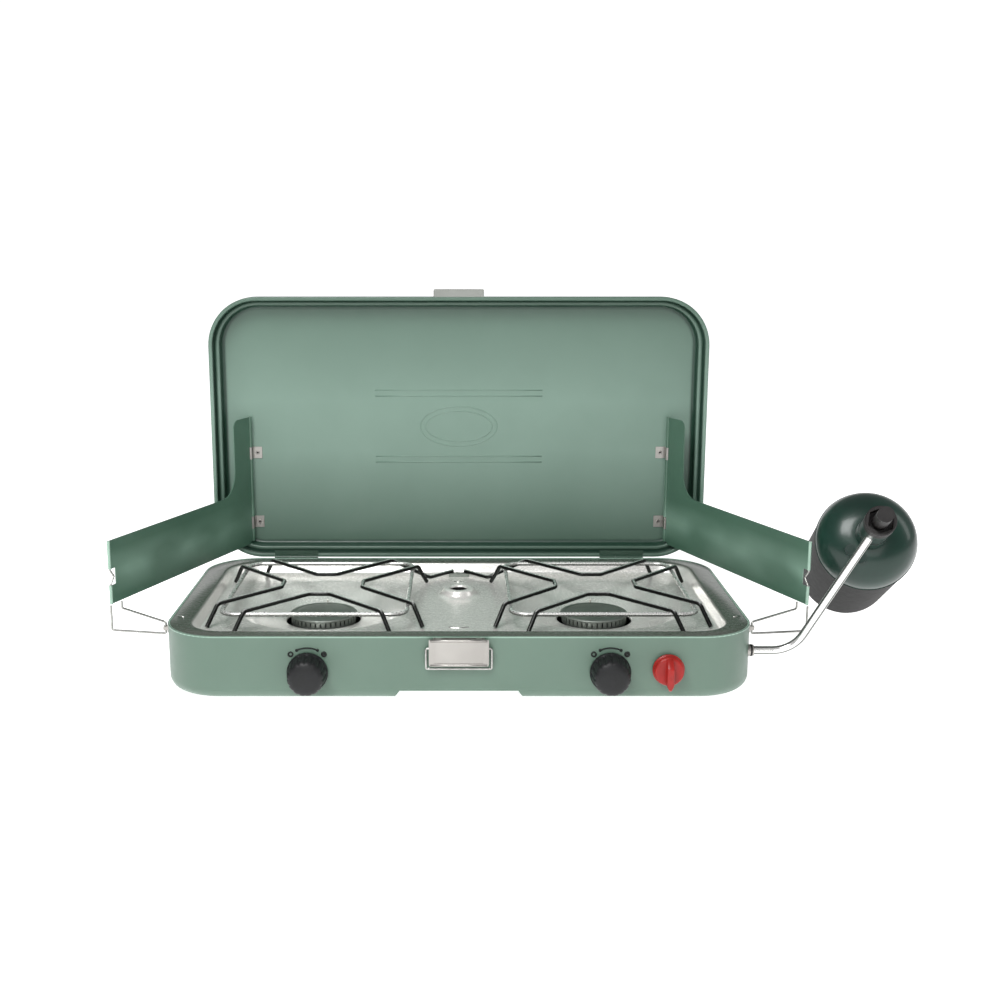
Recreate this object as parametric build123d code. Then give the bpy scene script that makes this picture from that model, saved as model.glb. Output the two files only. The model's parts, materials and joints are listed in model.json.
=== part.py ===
from build123d import *
import os
from math import cos, radians, sin

# Two-burner gas camping stove, open and ready to cook. Millimetres.
# Origin: centre of the base. +X right, +Y to the back, +Z up. The lid stands open at the back.

# ---- clearances and sheet -------------------------------------------------
SHEET = 1.0  # pressed steel sheet
RUN_FIT = 0.05  # radial clearance of a pin that turns in its hole
SEAT_CLEAR = 0.15  # a foot above the surface that it stands on
EDGE_CLEAR = 0.2  # a sheet edge beside the wall that it drops into

# ---- case -----------------------------------------------------------------
CASE_WIDTH = 585.0
CASE_DEPTH = 310.0
CASE_HEIGHT = 64.5
SIDE = CASE_WIDTH / 2
FRONT = -CASE_DEPTH / 2
BACK = CASE_DEPTH / 2
CORNER_R = 57.0
CASE_BOTTOM_R = 12.0
HEM_DROP = 7.0  # height of the folded hem inside the case's top edge
RECESS_HALF_TOP = 58.0
RECESS_HALF_BOTTOM = 64.0
RECESS_HEIGHT = 9.0
RECESS_DEPTH = 60.0

# ---- drip tray ------------------------------------------------------------
RIM_DROP = 0.4  # tray flange below the case's top edge
FLANGE_TOP = CASE_HEIGHT - RIM_DROP
FLANGE_BOTTOM = FLANGE_TOP - SHEET
FLANGE_SIDE = 23.5
FLANGE_FRONT = 20.0
FLANGE_BACK = 21.0
WELL_R = 36.0
WELL_DEPTH = 12.4
WELL_FLOOR = FLANGE_TOP - WELL_DEPTH
WELL_DRAFT = 6.0
DISH_DEPTH = 16.0
HOLE_Z = WELL_FLOOR - DISH_DEPTH
DISH_R = 95.0
FLAME_HOLE_R = 40.0
SLOT_LENGTH = 12.0
SLOT_WIDTH = 2.0
SLOT_X = SIDE - 9.5
SLOT_Y = FRONT + 68.0
SLOT_TURN = 35.0
BOSS_Y = 38.0
BOSS_FOOT_R = 25.0
BOSS_TOP_R = 17.0
BOSS_HEIGHT = 7.0
BOSS_HOLE_R = 9.5
TAB_LENGTH = 7.0
TAB_WIDTH = 1.5
TAB_HEIGHT = 0.6
TAB_INSET = 6.0

# ---- burners --------------------------------------------------------------
BURNER_X = SIDE - 145.5
BOWL_R = 33.0
BOWL_BOTTOM = HOLE_Z - 21.7
BOWL_TOP = HOLE_Z - 2.7
RING_R = 35.0
RING_WALL = 1.5
RING_TOP = HOLE_Z + 5.3
PORT_COUNT = 40
PORT_WIDTH = 1.6
CAP_R = 36.5
CAP_EDGE = 1.6
CAP_RISE = 3.0
POST_R = 10.0
VENTURI_R = 8.0
VENTURI_WALL = 1.2
VENTURI_Z = BOWL_BOTTOM + 10.0

# ---- valves, manifold, knobs ----------------------------------------------
KNOB_Z = CASE_HEIGHT - 35.7
VALVE_HALF_WIDTH = 10.0
VALVE_FRONT = -FRONT - 13.0  # distance in front of the centre
VALVE_BACK = VALVE_FRONT - 28.0
VALVE_BOTTOM = 10.0
VALVE_TOP = KNOB_Z + 9.0
STEM_R = 3.0
STEM_DEPTH = 6.0
PANEL_HOLE_R = 4.0
MANIFOLD_R = 5.0
MANIFOLD_Y = FRONT + 27.0
MANIFOLD_Z = VALVE_BOTTOM + 7.0
BRACKET_HALF = 13.0
KNOB_R = 20.0
KNOB_TIP_R = 17.0
KNOB_LENGTH = 25.0
KNOB_GAP = 1.5
KNOB_GRIPS = 12
GRIP_R = 2.6
MARK_R = 24.0
MARK_WIDTH = 1.3
MARK_ARC = 25.0  # degrees each side of the top
MARK_TURN = 42.5
MARK_SPOT_R = 2.2
MARK_SPOT_HOLE = 1.2
MARK_THICK = 0.15

# ---- igniter --------------------------------------------------------------
IGNITER_X = BURNER_X + 56.3
TAB_X = (-BURNER_X, BURNER_X, IGNITER_X)
IGNITER_Z = KNOB_Z + 2.9
IGNITER_R = 10.0
IGNITER_LENGTH = 54.0
IGNITER_KNOB_R = 15.5
IGNITER_DISC = 9.0
IGNITER_GRIP_HALF = 3.4
IGNITER_GRIP = 18.0
IGNITER_BAR_TOP = 13.2
IGNITER_BAR_TIP = 18.2
ELECTRODE_R = 2.4
ELECTRODE_Y = 46.0
ELECTRODE_BOTTOM = HOLE_Z - 15.7
ELECTRODE_TOP = HOLE_Z + 4.3
SPARK_WIRE_R = 0.8
LEAD_R = 1.5
LEAD_BEND = 5.0
LEAD_Z = 6.0  # leads lie just above the base

# ---- grates ---------------------------------------------------------------
WIRE_R = 2.25
GRATE_TOP_Z = WELL_FLOOR + 22.9  # centre of the pan wires
GRATE_LOOP_Z = WELL_FLOOR + 19.1
LOOP_HALF_X = 94.0
LOOP_HALF_Y = 102.0
LOOP_CORNER = 16.0
PAN_BEND_X = 69.0
PAN_BEND_Y = 104.0
PAN_TIP_X = 11.0
PAN_TIP_Y = 40.0
SIDE_BEND_X = 100.0
SIDE_BEND_Y = 76.0
SIDE_TIP_X = 43.0
SIDE_TIP_Y = 12.0
LEG_SPLAY_X = 10.0
LEG_SPLAY_Y = 12.0
WIRE_BEND = 7.0
FOOT_Z = WELL_FLOOR + SEAT_CLEAR + 1.3
HOOK_KNEE = (34.0, 99.0)
HOOK_END = (7.0, 119.0)
REST_HALF = 12.0
REST_Y = 116.0
REST_HEIGHT = 4.0
REST_FIT = 0.4
REST_LIFTS = (0, 2, 4, 6)  # the grooves stay open upwards
REST_PAST = 0.3

# ---- lid and its hinges ---------------------------------------------------
HINGE_Y = BACK + 3.0
HINGE_Z = CASE_HEIGHT
HINGE_X = SIDE - 97.0
HINGE_HALF = 26.0
KNUCKLE_HALF = 7.0
KNUCKLE_R = 2.5
KNUCKLE_GAP = 0.3
PIN_R = 1.5
LEAF_DROP = 22.0
LEAF_RISE = 8.2
LID_GAP = 0.5  # lid edge in front of the hinge axis
LID_FRONT = HINGE_Y + LID_GAP
LID_BOTTOM = HINGE_Z + 0.1
LID_HEIGHT = CASE_DEPTH
LID_MIDDLE = LID_BOTTOM + LID_HEIGHT / 2
LID_STEP_DEPTH = 15.0
LID_DEPTH = 28.0
PANEL_Y = LID_FRONT + LID_DEPTH - SHEET
LID_STEP = 7.0
LID_BACK_R = 8.0
LID_HEM = 4.5
EMBOSS_HALF = 100.0
EMBOSS_ROWS = (-43.5, -36.5, 36.5, 43.5)  # from the panel's middle
EMBOSS_WIDTH = 1.6
EMBOSS_PROUD = 0.5
EMBOSS_OVAL = (46.0, 24.0)

# ---- lid catch ------------------------------------------------------------
CATCH_HALF = 29.4
CATCH_LENGTH = 16.0
CATCH_LIP = 9.0
CATCH_SHEET = 1.2
RIVET_R = 2.0
RIVET_HEAD = 0.8

# ---- wind baffles ---------------------------------------------------------
BAFFLE_X = SIDE - 42.5
# One hinge line stands behind the other, so that the leaves fold flat.
BAFFLE_Y = {-1: PANEL_Y - 6.9, 1: PANEL_Y - 10.1}
BAFFLE_OUT = 21.0  # degrees outward from straight ahead
BAFFLE_LENGTH = CASE_DEPTH - 24.0
BAFFLE_POST = 38.0
BAFFLE_BOTTOM = CASE_HEIGHT + 13.3
BARREL_BOTTOM = BAFFLE_BOTTOM + 2.7  # the rolled edge starts above the lid's rounded corner
ROOT_STEP = 7.0
BAFFLE_TOP = BAFFLE_BOTTOM + 154.2
BAFFLE_ARM_TOP = BAFFLE_BOTTOM + 65.7
BAFFLE_INNER_R = 28.0
BAFFLE_OUTER_R = 10.0
BAFFLE_PIN_R = 1.2
BARREL_R = 2.2
CLIP_Z = (BAFFLE_BOTTOM + 25.2, BAFFLE_BOTTOM + 110.2)
CLIP_WIDTH = 15.0
CLIP_HEIGHT = 14.0
CLIP_GAP = 0.6
NOTCH_Z = (BAFFLE_BOTTOM + 19.2, BAFFLE_BOTTOM + 36.2)
NOTCH_DEPTH = 9.0
NOTCH_WIRE_IN = 6.0
EDGE_WIRE_R = 1.1
EDGE_BARREL_R = 1.6

# ---- wire stays -----------------------------------------------------------
STAY_R = 1.15
STAY_Y = FRONT + 54.0
STAY_OUT = 3.0  # pivot outside the case's side
STAY_LOW_Z = CASE_HEIGHT - 14.0
STAY_HIGH_Z = CASE_HEIGHT - 2.0
STAY_LOW_REACH = BAFFLE_LENGTH + 1.4  # ends below the baffle, measured along it
STAY_HIGH_REACH = BAFFLE_LENGTH - 16.7
STAY_HIGH_RISE = CASE_HEIGHT + 4.5
STAY_TOP = BAFFLE_BOTTOM - 1.4
EYE_HALF = 4.0
EYE_THICK = 4.4
EYE_SIDE = 2.4
EYE_FLANGE = 0.8
EYE_BACK = 9.0
EYE_LIP = 2.0
EYE_BITE = 0.2

# ---- latch ----------------------------------------------------------------
LATCH_AXIS_Z = CASE_HEIGHT - 3.1
LATCH_AXIS_OUT = 4.2  # axis in front of the case
LATCH_BASE_HALF = 25.0
LATCH_BASE_BOTTOM = LATCH_AXIS_Z - 22.8
LATCH_BASE_TOP = LATCH_AXIS_Z + 1.8
LATCH_EAR = (17.0, 22.0)
LATCH_EAR_R = 2.0
LATCH_EAR_HALF = 1.6
LATCH_RIVET_X = 12.0
LATCH_RIVET_Z = LATCH_AXIS_Z - 16.8
LATCH_PIN_R = 1.2
LEVER_HALF = 29.0
LEVER_BOTTOM = LATCH_AXIS_Z - 25.0
LEVER_SHEET = 1.2
LEVER_FRONT = 6.4
LEVER_RISE = 2.2  # plate above its axis
LEVER_BORDER = 5.0
LEVER_FOOT = 3.0
LEVER_HEAD = 4.0
LEVER_PRESS = 0.6
FLANGE_BACK = 1.9  # flange behind its axis
FLANGE_DROP = 12.0
BAIL_R = 1.15
BAIL_HALF = 31.8
BAIL_PIVOT_Z = LATCH_AXIS_Z - 7.8
BAIL_BOTTOM = LATCH_AXIS_Z - 28.2
BAIL_OUT = 4.2

# ---- gas supply -----------------------------------------------------------
INLET_Y = FRONT + 44.0
INLET_Z = CASE_HEIGHT - 28.3
INLET_IN = SIDE - 20.5
INLET_OUT = SIDE + 3.0
TUBE_R = 4.2
INLET_R = TUBE_R + 4.8
INLET_NECK_R = TUBE_R + 1.6
GROMMET_R = TUBE_R + 2.9
GROMMET_OUT = 0.8
SOCKET_SET = 5.0  # the socket's shoulder inside the case's wall
TUBE_START = SIDE - 14.5
TUBE_CORNER_X = SIDE + 42.7
TUBE_BEND = 31.0
PIPE_BEND = 14.0
TANK_CLEAR = 57.0  # from the open baffle's free edge to the tank's axis at its seam
TANK_X = BAFFLE_X + BAFFLE_LENGTH * sin(radians(BAFFLE_OUT)) + TANK_CLEAR
TANK_SEAM = (TANK_X, FRONT + 68.0, INLET_Z + 106.8)
TANK_DIRECTION = (-0.155, -0.895, 0.417)
TANK_R = 49.3
TANK_BODY = 176.0
TANK_FOOT_R = 14.0
TANK_WALL = 0.9
DOME_HEIGHT = 33.0
NECK_R = 12.0
NECK_BORE_R = 8.0
NECK_PLUG = 8.0
NECK_TOP = 47.0
SEAM_PROUD = 0.6
SEAM_HALF = 2.0
RELIEF_R = 5.6
RELIEF_OUT = 25.0
RELIEF_TOP = 33.0
RELIEF_TURNS = (198.0, 225.0)
NUT_R = 15.0
NUT_BOTTOM = 37.0
REG_R = 14.0
REG_TOP = 84.0
REG_PORT = 74.0
CAP_GRIP_R = 14.6
CAP_GRIP_TOP = 97.0
CAP_HEX_R = 12.9
CAP_HUB_R = 7.6
CAP_POCKET = 10.0
CAP_HUB_TOP = 124.0

SIDES = (("left", -1), ("right", 1))
INNER_X = SIDE - SHEET
WELL_WIDTH = CASE_WIDTH - 2 * FLANGE_SIDE
WELL_LENGTH = CASE_DEPTH - FLANGE_FRONT - FLANGE_BACK
WELL_Y = (FLANGE_FRONT - FLANGE_BACK) / 2
LEVER_TOP = LATCH_AXIS_Z + LEVER_RISE


def slab(width, depth, low, high, corner, y=0.0):
    """A plate with rounded plan corners, from one height to another."""
    return Pos(0, y, low) * extrude(RectangleRounded(width, depth, corner), high - low)


def block(x0, x1, y0, y1, z0, z1):
    """A box given by its two opposite corners."""
    return Pos((x0 + x1) / 2, (y0 + y1) / 2, (z0 + z1) / 2) * Box(x1 - x0, y1 - y0, z1 - z0)


def rod(start, end, radius):
    """A round bar between two points."""
    line = Vector(*end) - Vector(*start)
    return Part() + Solid.make_cylinder(radius, line.length, Plane(origin=start, z_dir=line))


def tube(start, end, outer, inner):
    """A round bar with a bore along it."""
    return rod(start, end, outer) - rod(start, end, inner)


def bent_wire(points, bend, radius):
    """A round wire through the points, with the same bend at each corner."""
    path = FilletPolyline(*points, radius=bend)
    return sweep(Plane(origin=path @ 0, z_dir=path % 0) * Circle(radius), path=path)


def recess(grow):
    """The space under the raised front edge of the base."""
    outline = Polygon(
        (-RECESS_HALF_BOTTOM - grow, -SHEET),
        (RECESS_HALF_BOTTOM + grow, -SHEET),
        (RECESS_HALF_TOP + grow, RECESS_HEIGHT + grow),
        (-RECESS_HALF_TOP - grow, RECESS_HEIGHT + grow),
        align=None,
    )
    back = FRONT + RECESS_DEPTH + grow
    return Pos(0, back, 0) * extrude(Plane.XZ * outline, RECESS_DEPTH + 3 * SHEET)


def case_shell():
    outer = slab(CASE_WIDTH, CASE_DEPTH, 0, CASE_HEIGHT, CORNER_R)
    outer = fillet(outer.faces().sort_by(Axis.Z)[0].edges(), CASE_BOTTOM_R)
    inner = slab(CASE_WIDTH - 2 * SHEET, CASE_DEPTH - 2 * SHEET, SHEET, CASE_HEIGHT + SHEET, CORNER_R - SHEET)
    inner = fillet(inner.faces().sort_by(Axis.Z)[0].edges(), CASE_BOTTOM_R - SHEET)
    shell = (outer - recess(0)) - (inner - recess(SHEET))
    hem_low = FLANGE_BOTTOM - HEM_DROP
    hem = slab(CASE_WIDTH - SHEET, CASE_DEPTH - SHEET, hem_low, FLANGE_BOTTOM, CORNER_R - SHEET / 2)
    hem -= slab(CASE_WIDTH - 4 * SHEET, CASE_DEPTH - 4 * SHEET, hem_low, FLANGE_BOTTOM, CORNER_R - 2 * SHEET)
    shell += hem
    for x, z in ((-BURNER_X, KNOB_Z), (BURNER_X, KNOB_Z), (IGNITER_X, IGNITER_Z)):
        shell -= rod((x, FRONT - SHEET, z), (x, FRONT + 3 * SHEET, z), PANEL_HOLE_R)
    shell -= rod((INNER_X - 3 * INLET_R, INLET_Y, INLET_Z), (INLET_OUT, INLET_Y, INLET_Z), GROMMET_R)
    return shell


def well_solid(inset, low, high):
    """The tray's well as a solid that narrows towards its floor."""
    top = RectangleRounded(WELL_WIDTH - 2 * inset, WELL_LENGTH - 2 * inset, WELL_R - inset)
    shrink = 2 * (inset + WELL_DRAFT)
    foot = RectangleRounded(WELL_WIDTH - shrink, WELL_LENGTH - shrink, WELL_R - inset - WELL_DRAFT)
    return loft([Pos(0, WELL_Y, low) * foot, Pos(0, WELL_Y, high) * top])


def turned_shell(x, y, outline):
    """A thin shell of revolution about an upright axis, from its half section."""
    return Pos(x, y, 0) * revolve(Plane.XZ * Polygon(*outline, align=None), Axis.Z)


def drip_tray():
    plate_width = CASE_WIDTH - 2 * (SHEET + EDGE_CLEAR)
    plate_depth = CASE_DEPTH - 2 * (SHEET + EDGE_CLEAR)
    tray = slab(plate_width, plate_depth, FLANGE_BOTTOM, FLANGE_TOP, CORNER_R - SHEET - EDGE_CLEAR)
    tray += well_solid(0, WELL_FLOOR - SHEET, FLANGE_TOP)
    tray -= well_solid(SHEET, WELL_FLOOR, FLANGE_TOP + SHEET)
    below = WELL_FLOOR - SHEET
    dish_section = (
        (DISH_R, below),
        (DISH_R, WELL_FLOOR),
        (FLAME_HOLE_R, HOLE_Z),
        (FLAME_HOLE_R, HOLE_Z - SHEET),
    )
    for side in (-1, 1):
        x = side * BURNER_X
        tray -= Pos(x, 0, WELL_FLOOR) * Cylinder(DISH_R, 4 * SHEET)
        tray += turned_shell(x, 0, dish_section)
        spark = (x, ELECTRODE_Y)
        tray -= rod((*spark, ELECTRODE_BOTTOM), (*spark, CASE_HEIGHT), ELECTRODE_R + EDGE_CLEAR)
        cut = Box(SLOT_LENGTH, SLOT_WIDTH, 4 * SHEET)
        tray -= Pos(side * SLOT_X, SLOT_Y, FLANGE_TOP) * Rot(0, 0, -side * SLOT_TURN) * cut
    top = WELL_FLOOR + BOSS_HEIGHT
    boss_section = (
        (BOSS_FOOT_R, below),
        (BOSS_FOOT_R, WELL_FLOOR),
        (BOSS_TOP_R, top),
        (BOSS_HOLE_R, top),
        (BOSS_HOLE_R, top - SHEET),
        (BOSS_TOP_R - SHEET, top - SHEET),
        (BOSS_FOOT_R - SHEET, below),
    )
    tray -= Pos(0, BOSS_Y, WELL_FLOOR) * Cylinder(BOSS_FOOT_R, 4 * SHEET)
    tray += turned_shell(0, BOSS_Y, boss_section)
    return tray


def flange_tabs():
    tabs = []
    y = FRONT + TAB_INSET
    for x in TAB_X:
        half = TAB_LENGTH / 2
        tabs.append(block(x - half, x + half, y, y + TAB_WIDTH, FLANGE_TOP, FLANGE_TOP + TAB_HEIGHT))
    return tabs


def burner_bowl(x):
    bowl = Pos(x, 0, (BOWL_BOTTOM + BOWL_TOP) / 2) * Cylinder(BOWL_R, BOWL_TOP - BOWL_BOTTOM)
    bore = Cylinder(BOWL_R - 2 * SHEET, BOWL_TOP - BOWL_BOTTOM)
    bowl -= Pos(x, 0, (BOWL_BOTTOM + BOWL_TOP) / 2 + 2 * SHEET) * bore
    bowl -= rod((x, -BOWL_R - SHEET, VENTURI_Z), (x, 0, VENTURI_Z), VENTURI_R)
    return bowl


def burner_ring(x):
    ring = tube((x, 0, BOWL_TOP), (x, 0, RING_TOP), RING_R, RING_R - RING_WALL)
    ring += tube((x, 0, BOWL_TOP), (x, 0, BOWL_TOP + SHEET), RING_R, BOWL_R - 3 * SHEET)
    middle = (BOWL_TOP + RING_TOP) / 2 + SHEET
    port = Box(6 * SHEET, PORT_WIDTH, RING_TOP - BOWL_TOP - 3 * SHEET)
    for index in range(PORT_COUNT):
        turn = Rot(0, 0, 360 * index / PORT_COUNT)
        ring -= Pos(x, 0, middle) * turn * Pos(RING_R, 0, 0) * port
    return ring


def burner_cap(x):
    dome_r = (CAP_R**2 + CAP_RISE**2) / (2 * CAP_RISE)
    edge_top = RING_TOP + CAP_EDGE
    cap = Pos(x, 0, RING_TOP + CAP_EDGE / 2) * Cylinder(CAP_R, CAP_EDGE)
    ball = Pos(x, 0, edge_top + CAP_RISE - dome_r) * Sphere(dome_r)
    cap += ball & block(x - CAP_R, x + CAP_R, -CAP_R, CAP_R, edge_top, edge_top + CAP_RISE)
    plug_r = RING_R - RING_WALL - EDGE_CLEAR
    cap += Pos(x, 0, RING_TOP - SHEET) * Cylinder(plug_r, 2 * SHEET)
    return cap


def burner_post(x):
    return tube((x, 0, SHEET), (x, 0, BOWL_BOTTOM), POST_R, POST_R - 2 * SHEET)


def venturi(x):
    front = -VALVE_BACK + 3 * SHEET
    start = (x, front, VENTURI_Z)
    pipe = tube(start, (x, -BOWL_R + 2 * SHEET, VENTURI_Z), VENTURI_R, VENTURI_R - VENTURI_WALL)
    half = VENTURI_R / 2
    pipe -= block(x - half, x + half, front + half, front + 2 * VENTURI_R, VENTURI_Z, VENTURI_Z + VENTURI_R)
    return pipe


def gas_valve(x):
    body = block(
        x - VALVE_HALF_WIDTH, x + VALVE_HALF_WIDTH, -VALVE_FRONT, -VALVE_BACK, VALVE_BOTTOM, VALVE_TOP
    )
    body = chamfer(body.edges().filter_by(Axis.Y), 2 * SHEET)
    jet_end = -VALVE_BACK + 8 * SHEET
    body += rod((x, -VALVE_BACK, VENTURI_Z), (x, jet_end, VENTURI_Z), STEM_R)
    front = (x, -VALVE_FRONT - SHEET, KNOB_Z)
    body -= rod(front, (x, -VALVE_FRONT + STEM_DEPTH + SHEET, KNOB_Z), STEM_R + RUN_FIT)
    return body


def valve_bracket(x):
    plate = block(x - BRACKET_HALF, x + BRACKET_HALF, -VALVE_FRONT, -VALVE_BACK, SHEET, 2 * SHEET)
    web = block(x - 3 * SHEET, x + 3 * SHEET, -VALVE_FRONT, -VALVE_BACK, 2 * SHEET, VALVE_BOTTOM)
    return plate + web


def manifold():
    reach = BURNER_X - VALVE_HALF_WIDTH
    return rod((-reach, MANIFOLD_Y, MANIFOLD_Z), (reach, MANIFOLD_Y, MANIFOLD_Z), MANIFOLD_R)


def inlet_pipe():
    start_x = BURNER_X + VALVE_HALF_WIDTH
    points = (
        (start_x, MANIFOLD_Y, MANIFOLD_Z),
        (INLET_IN - 3 * PIPE_BEND, MANIFOLD_Y, MANIFOLD_Z),
        (INLET_IN - 0.8 * PIPE_BEND, INLET_Y, INLET_Z),
        (INLET_IN, INLET_Y, INLET_Z),
    )
    return bent_wire(points, PIPE_BEND, MANIFOLD_R - SHEET)


def inlet_socket():
    inner_end = INNER_X - SOCKET_SET
    body = rod((INLET_IN, INLET_Y, INLET_Z), (inner_end, INLET_Y, INLET_Z), INLET_R)
    body += rod((INLET_IN, INLET_Y, INLET_Z), (INLET_OUT, INLET_Y, INLET_Z), INLET_NECK_R)
    bore_start = TUBE_START - EDGE_CLEAR
    body -= rod((bore_start, INLET_Y, INLET_Z), (INLET_OUT + SHEET, INLET_Y, INLET_Z), TUBE_R + RUN_FIT)
    return body


def inlet_grommet():
    start = (INNER_X - SOCKET_SET, INLET_Y, INLET_Z)
    return tube(start, (SIDE + GROMMET_OUT, INLET_Y, INLET_Z), GROMMET_R, INLET_NECK_R)


def burner_knob(x):
    back = FRONT - KNOB_GAP
    seat = Plane(origin=(x, back, KNOB_Z), z_dir=(0, -1, 0))
    knob = Part() + Solid.make_cone(KNOB_R, KNOB_TIP_R, KNOB_LENGTH, seat)
    knob = fillet(knob.faces().sort_by(Axis.Y)[0].edges(), 2 * SHEET)
    for index in range(KNOB_GRIPS):
        angle = radians(360 * (index + 0.5) / KNOB_GRIPS)
        spot_x = x + (KNOB_R + SHEET) * cos(angle)
        spot_z = KNOB_Z + (KNOB_R + SHEET) * sin(angle)
        knob -= rod((spot_x, back - 5 * SHEET, spot_z), (spot_x, back - 2 * KNOB_LENGTH, spot_z), GRIP_R)
    knob -= rod((x, back + SHEET, KNOB_Z), (x, back - KNOB_LENGTH / 2, KNOB_Z), STEM_R)
    return knob


def valve_stem(x):
    inner = -VALVE_FRONT + STEM_DEPTH
    return rod((x, inner, KNOB_Z), (x, FRONT - KNOB_GAP - KNOB_LENGTH / 2, KNOB_Z), STEM_R)


def knob_marks():
    """Printed marks over each burner knob: an open circle, an arc and a filled circle."""
    pieces = []
    band = Circle(MARK_R + MARK_WIDTH / 2) - Circle(MARK_R - MARK_WIDTH / 2)
    arc = band & Pos(0, MARK_R) * Rectangle(2 * MARK_R * sin(radians(MARK_ARC)), MARK_R / 2)
    spot = Circle(MARK_SPOT_R)
    across = MARK_R * sin(radians(MARK_TURN))
    up = MARK_R * cos(radians(MARK_TURN))
    marks = (arc, Pos(across, up) * spot, Pos(-across, up) * (spot - Circle(MARK_SPOT_HOLE)))
    for side in (-1, 1):
        plane = Plane(origin=(side * BURNER_X, FRONT, KNOB_Z), x_dir=(1, 0, 0), z_dir=(0, -1, 0))
        pieces += [extrude(plane * mark, MARK_THICK) for mark in marks]
    return pieces


def igniter_body():
    inner = FRONT + SHEET
    body = rod((IGNITER_X, inner, IGNITER_Z), (IGNITER_X, inner + IGNITER_LENGTH, IGNITER_Z), IGNITER_R)
    pocket_end = (IGNITER_X, inner + 13 * SHEET, IGNITER_Z)
    body -= rod((IGNITER_X, inner - SHEET, IGNITER_Z), pocket_end, STEM_R + RUN_FIT)
    return body


def igniter_knob():
    back = FRONT - KNOB_GAP
    front = back - IGNITER_DISC
    knob = rod((IGNITER_X, back, IGNITER_Z), (IGNITER_X, front, IGNITER_Z), IGNITER_KNOB_R)
    knob = fillet(knob.faces().sort_by(Axis.Y)[0].edges(), SHEET)
    half = IGNITER_GRIP_HALF
    outline = Polygon(
        (-half, IGNITER_BAR_TOP),
        (-half, half - IGNITER_BAR_TIP),
        (0, -IGNITER_BAR_TIP),
        (half, half - IGNITER_BAR_TIP),
        (half, IGNITER_BAR_TOP),
        align=None,
    )
    sunk = 4 * SHEET
    seat = Plane(origin=(IGNITER_X, front + sunk, IGNITER_Z), x_dir=(1, 0, 0), z_dir=(0, -1, 0))
    bar = extrude(seat * outline, IGNITER_GRIP - IGNITER_DISC + sunk)
    bar = fillet(bar.faces().sort_by(Axis.Y)[0].edges(), SHEET)
    knob += bar
    stem_end = (IGNITER_X, FRONT + 10 * SHEET, IGNITER_Z)
    knob += rod((IGNITER_X, back, IGNITER_Z), stem_end, STEM_R)
    return knob


def electrode(x):
    low = (x, ELECTRODE_Y, ELECTRODE_BOTTOM)
    top = (x, ELECTRODE_Y, ELECTRODE_TOP)
    body = rod(low, top, ELECTRODE_R)
    tip = (x, ELECTRODE_Y - 4 * SHEET, ELECTRODE_TOP + 5 * SHEET)
    return body + rod((x, ELECTRODE_Y, ELECTRODE_TOP - SHEET), tip, SPARK_WIRE_R)


def ignition_leads():
    """Two insulated leads from the igniter to the electrodes, each along its clipped route."""
    back = FRONT + SHEET + IGNITER_LENGTH
    apart = 4 * SHEET
    straight = back + 14 * SHEET
    above = LEAD_Z + 2 * SHEET
    right = (
        (IGNITER_X + apart, back, IGNITER_Z),
        (IGNITER_X + apart, straight, IGNITER_Z),
        (IGNITER_X + apart, straight + 22 * SHEET, IGNITER_Z - 12 * SHEET),
        (BURNER_X + 50 * SHEET, ELECTRODE_Y / 2, above),
        (BURNER_X, ELECTRODE_Y, LEAD_Z),
        (BURNER_X, ELECTRODE_Y, ELECTRODE_BOTTOM),
    )
    behind = ELECTRODE_Y + 20 * SHEET
    left = (
        (IGNITER_X - apart, back, IGNITER_Z),
        (IGNITER_X - apart, straight, IGNITER_Z),
        (IGNITER_X - 10 * SHEET, straight + 16 * SHEET, LEAD_Z),
        (60 * SHEET, -70 * SHEET, LEAD_Z),
        (-60 * SHEET, behind, LEAD_Z),
        (14 * SHEET - BURNER_X, behind, LEAD_Z),
        (-BURNER_X, ELECTRODE_Y, above),
        (-BURNER_X, ELECTRODE_Y, ELECTRODE_BOTTOM),
    )
    return [bent_wire(route, LEAD_BEND, LEAD_R) for route in (right, left)]


def grate(side):
    """One pan grate: a loop, four V wires with legs, and a hooked leg at the back centre."""
    centre = side * BURNER_X
    loop_shape = RectangleRounded(2 * LOOP_HALF_X, 2 * LOOP_HALF_Y, LOOP_CORNER)
    loop_wire = (Pos(centre, 0, GRATE_LOOP_Z) * loop_shape).face().outer_wire()
    body = sweep(Plane(origin=loop_wire @ 0, z_dir=loop_wire % 0) * Circle(WIRE_R), path=loop_wire)
    for across in (-1, 1):
        x_bend = centre + across * SIDE_BEND_X
        x_foot = x_bend + across * LEG_SPLAY_X
        x_tip = centre + across * SIDE_TIP_X
        points = []
        for along in (-1, 1):
            wing = [
                (x_foot, along * (SIDE_BEND_Y + LEG_SPLAY_Y), FOOT_Z),
                (x_bend, along * SIDE_BEND_Y, GRATE_TOP_Z),
                (x_tip, along * SIDE_TIP_Y, GRATE_TOP_Z),
            ]
            points += wing if along < 0 else wing[::-1]
        body += bent_wire(points, WIRE_BEND, WIRE_R)
    for along in (-1, 1):
        points = []
        for across in (-1, 1):
            hooked = along == 1 and across == -side
            wing = [
                (centre + across * (PAN_BEND_X + LEG_SPLAY_X), along * (PAN_BEND_Y + LEG_SPLAY_Y), FOOT_Z),
                (centre + across * PAN_BEND_X, along * PAN_BEND_Y, GRATE_TOP_Z),
                (centre + across * PAN_TIP_X, along * PAN_TIP_Y, GRATE_TOP_Z),
            ]
            if hooked:
                knee = (side * HOOK_KNEE[0], HOOK_KNEE[1], FOOT_Z + WIRE_R)
                wing = [(side * HOOK_END[0], HOOK_END[1], FOOT_Z + 2 * WIRE_R), knee] + wing[1:]
            points += wing if across < 0 else wing[::-1]
        body += bent_wire(points, WIRE_BEND, WIRE_R)
    return body


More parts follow.
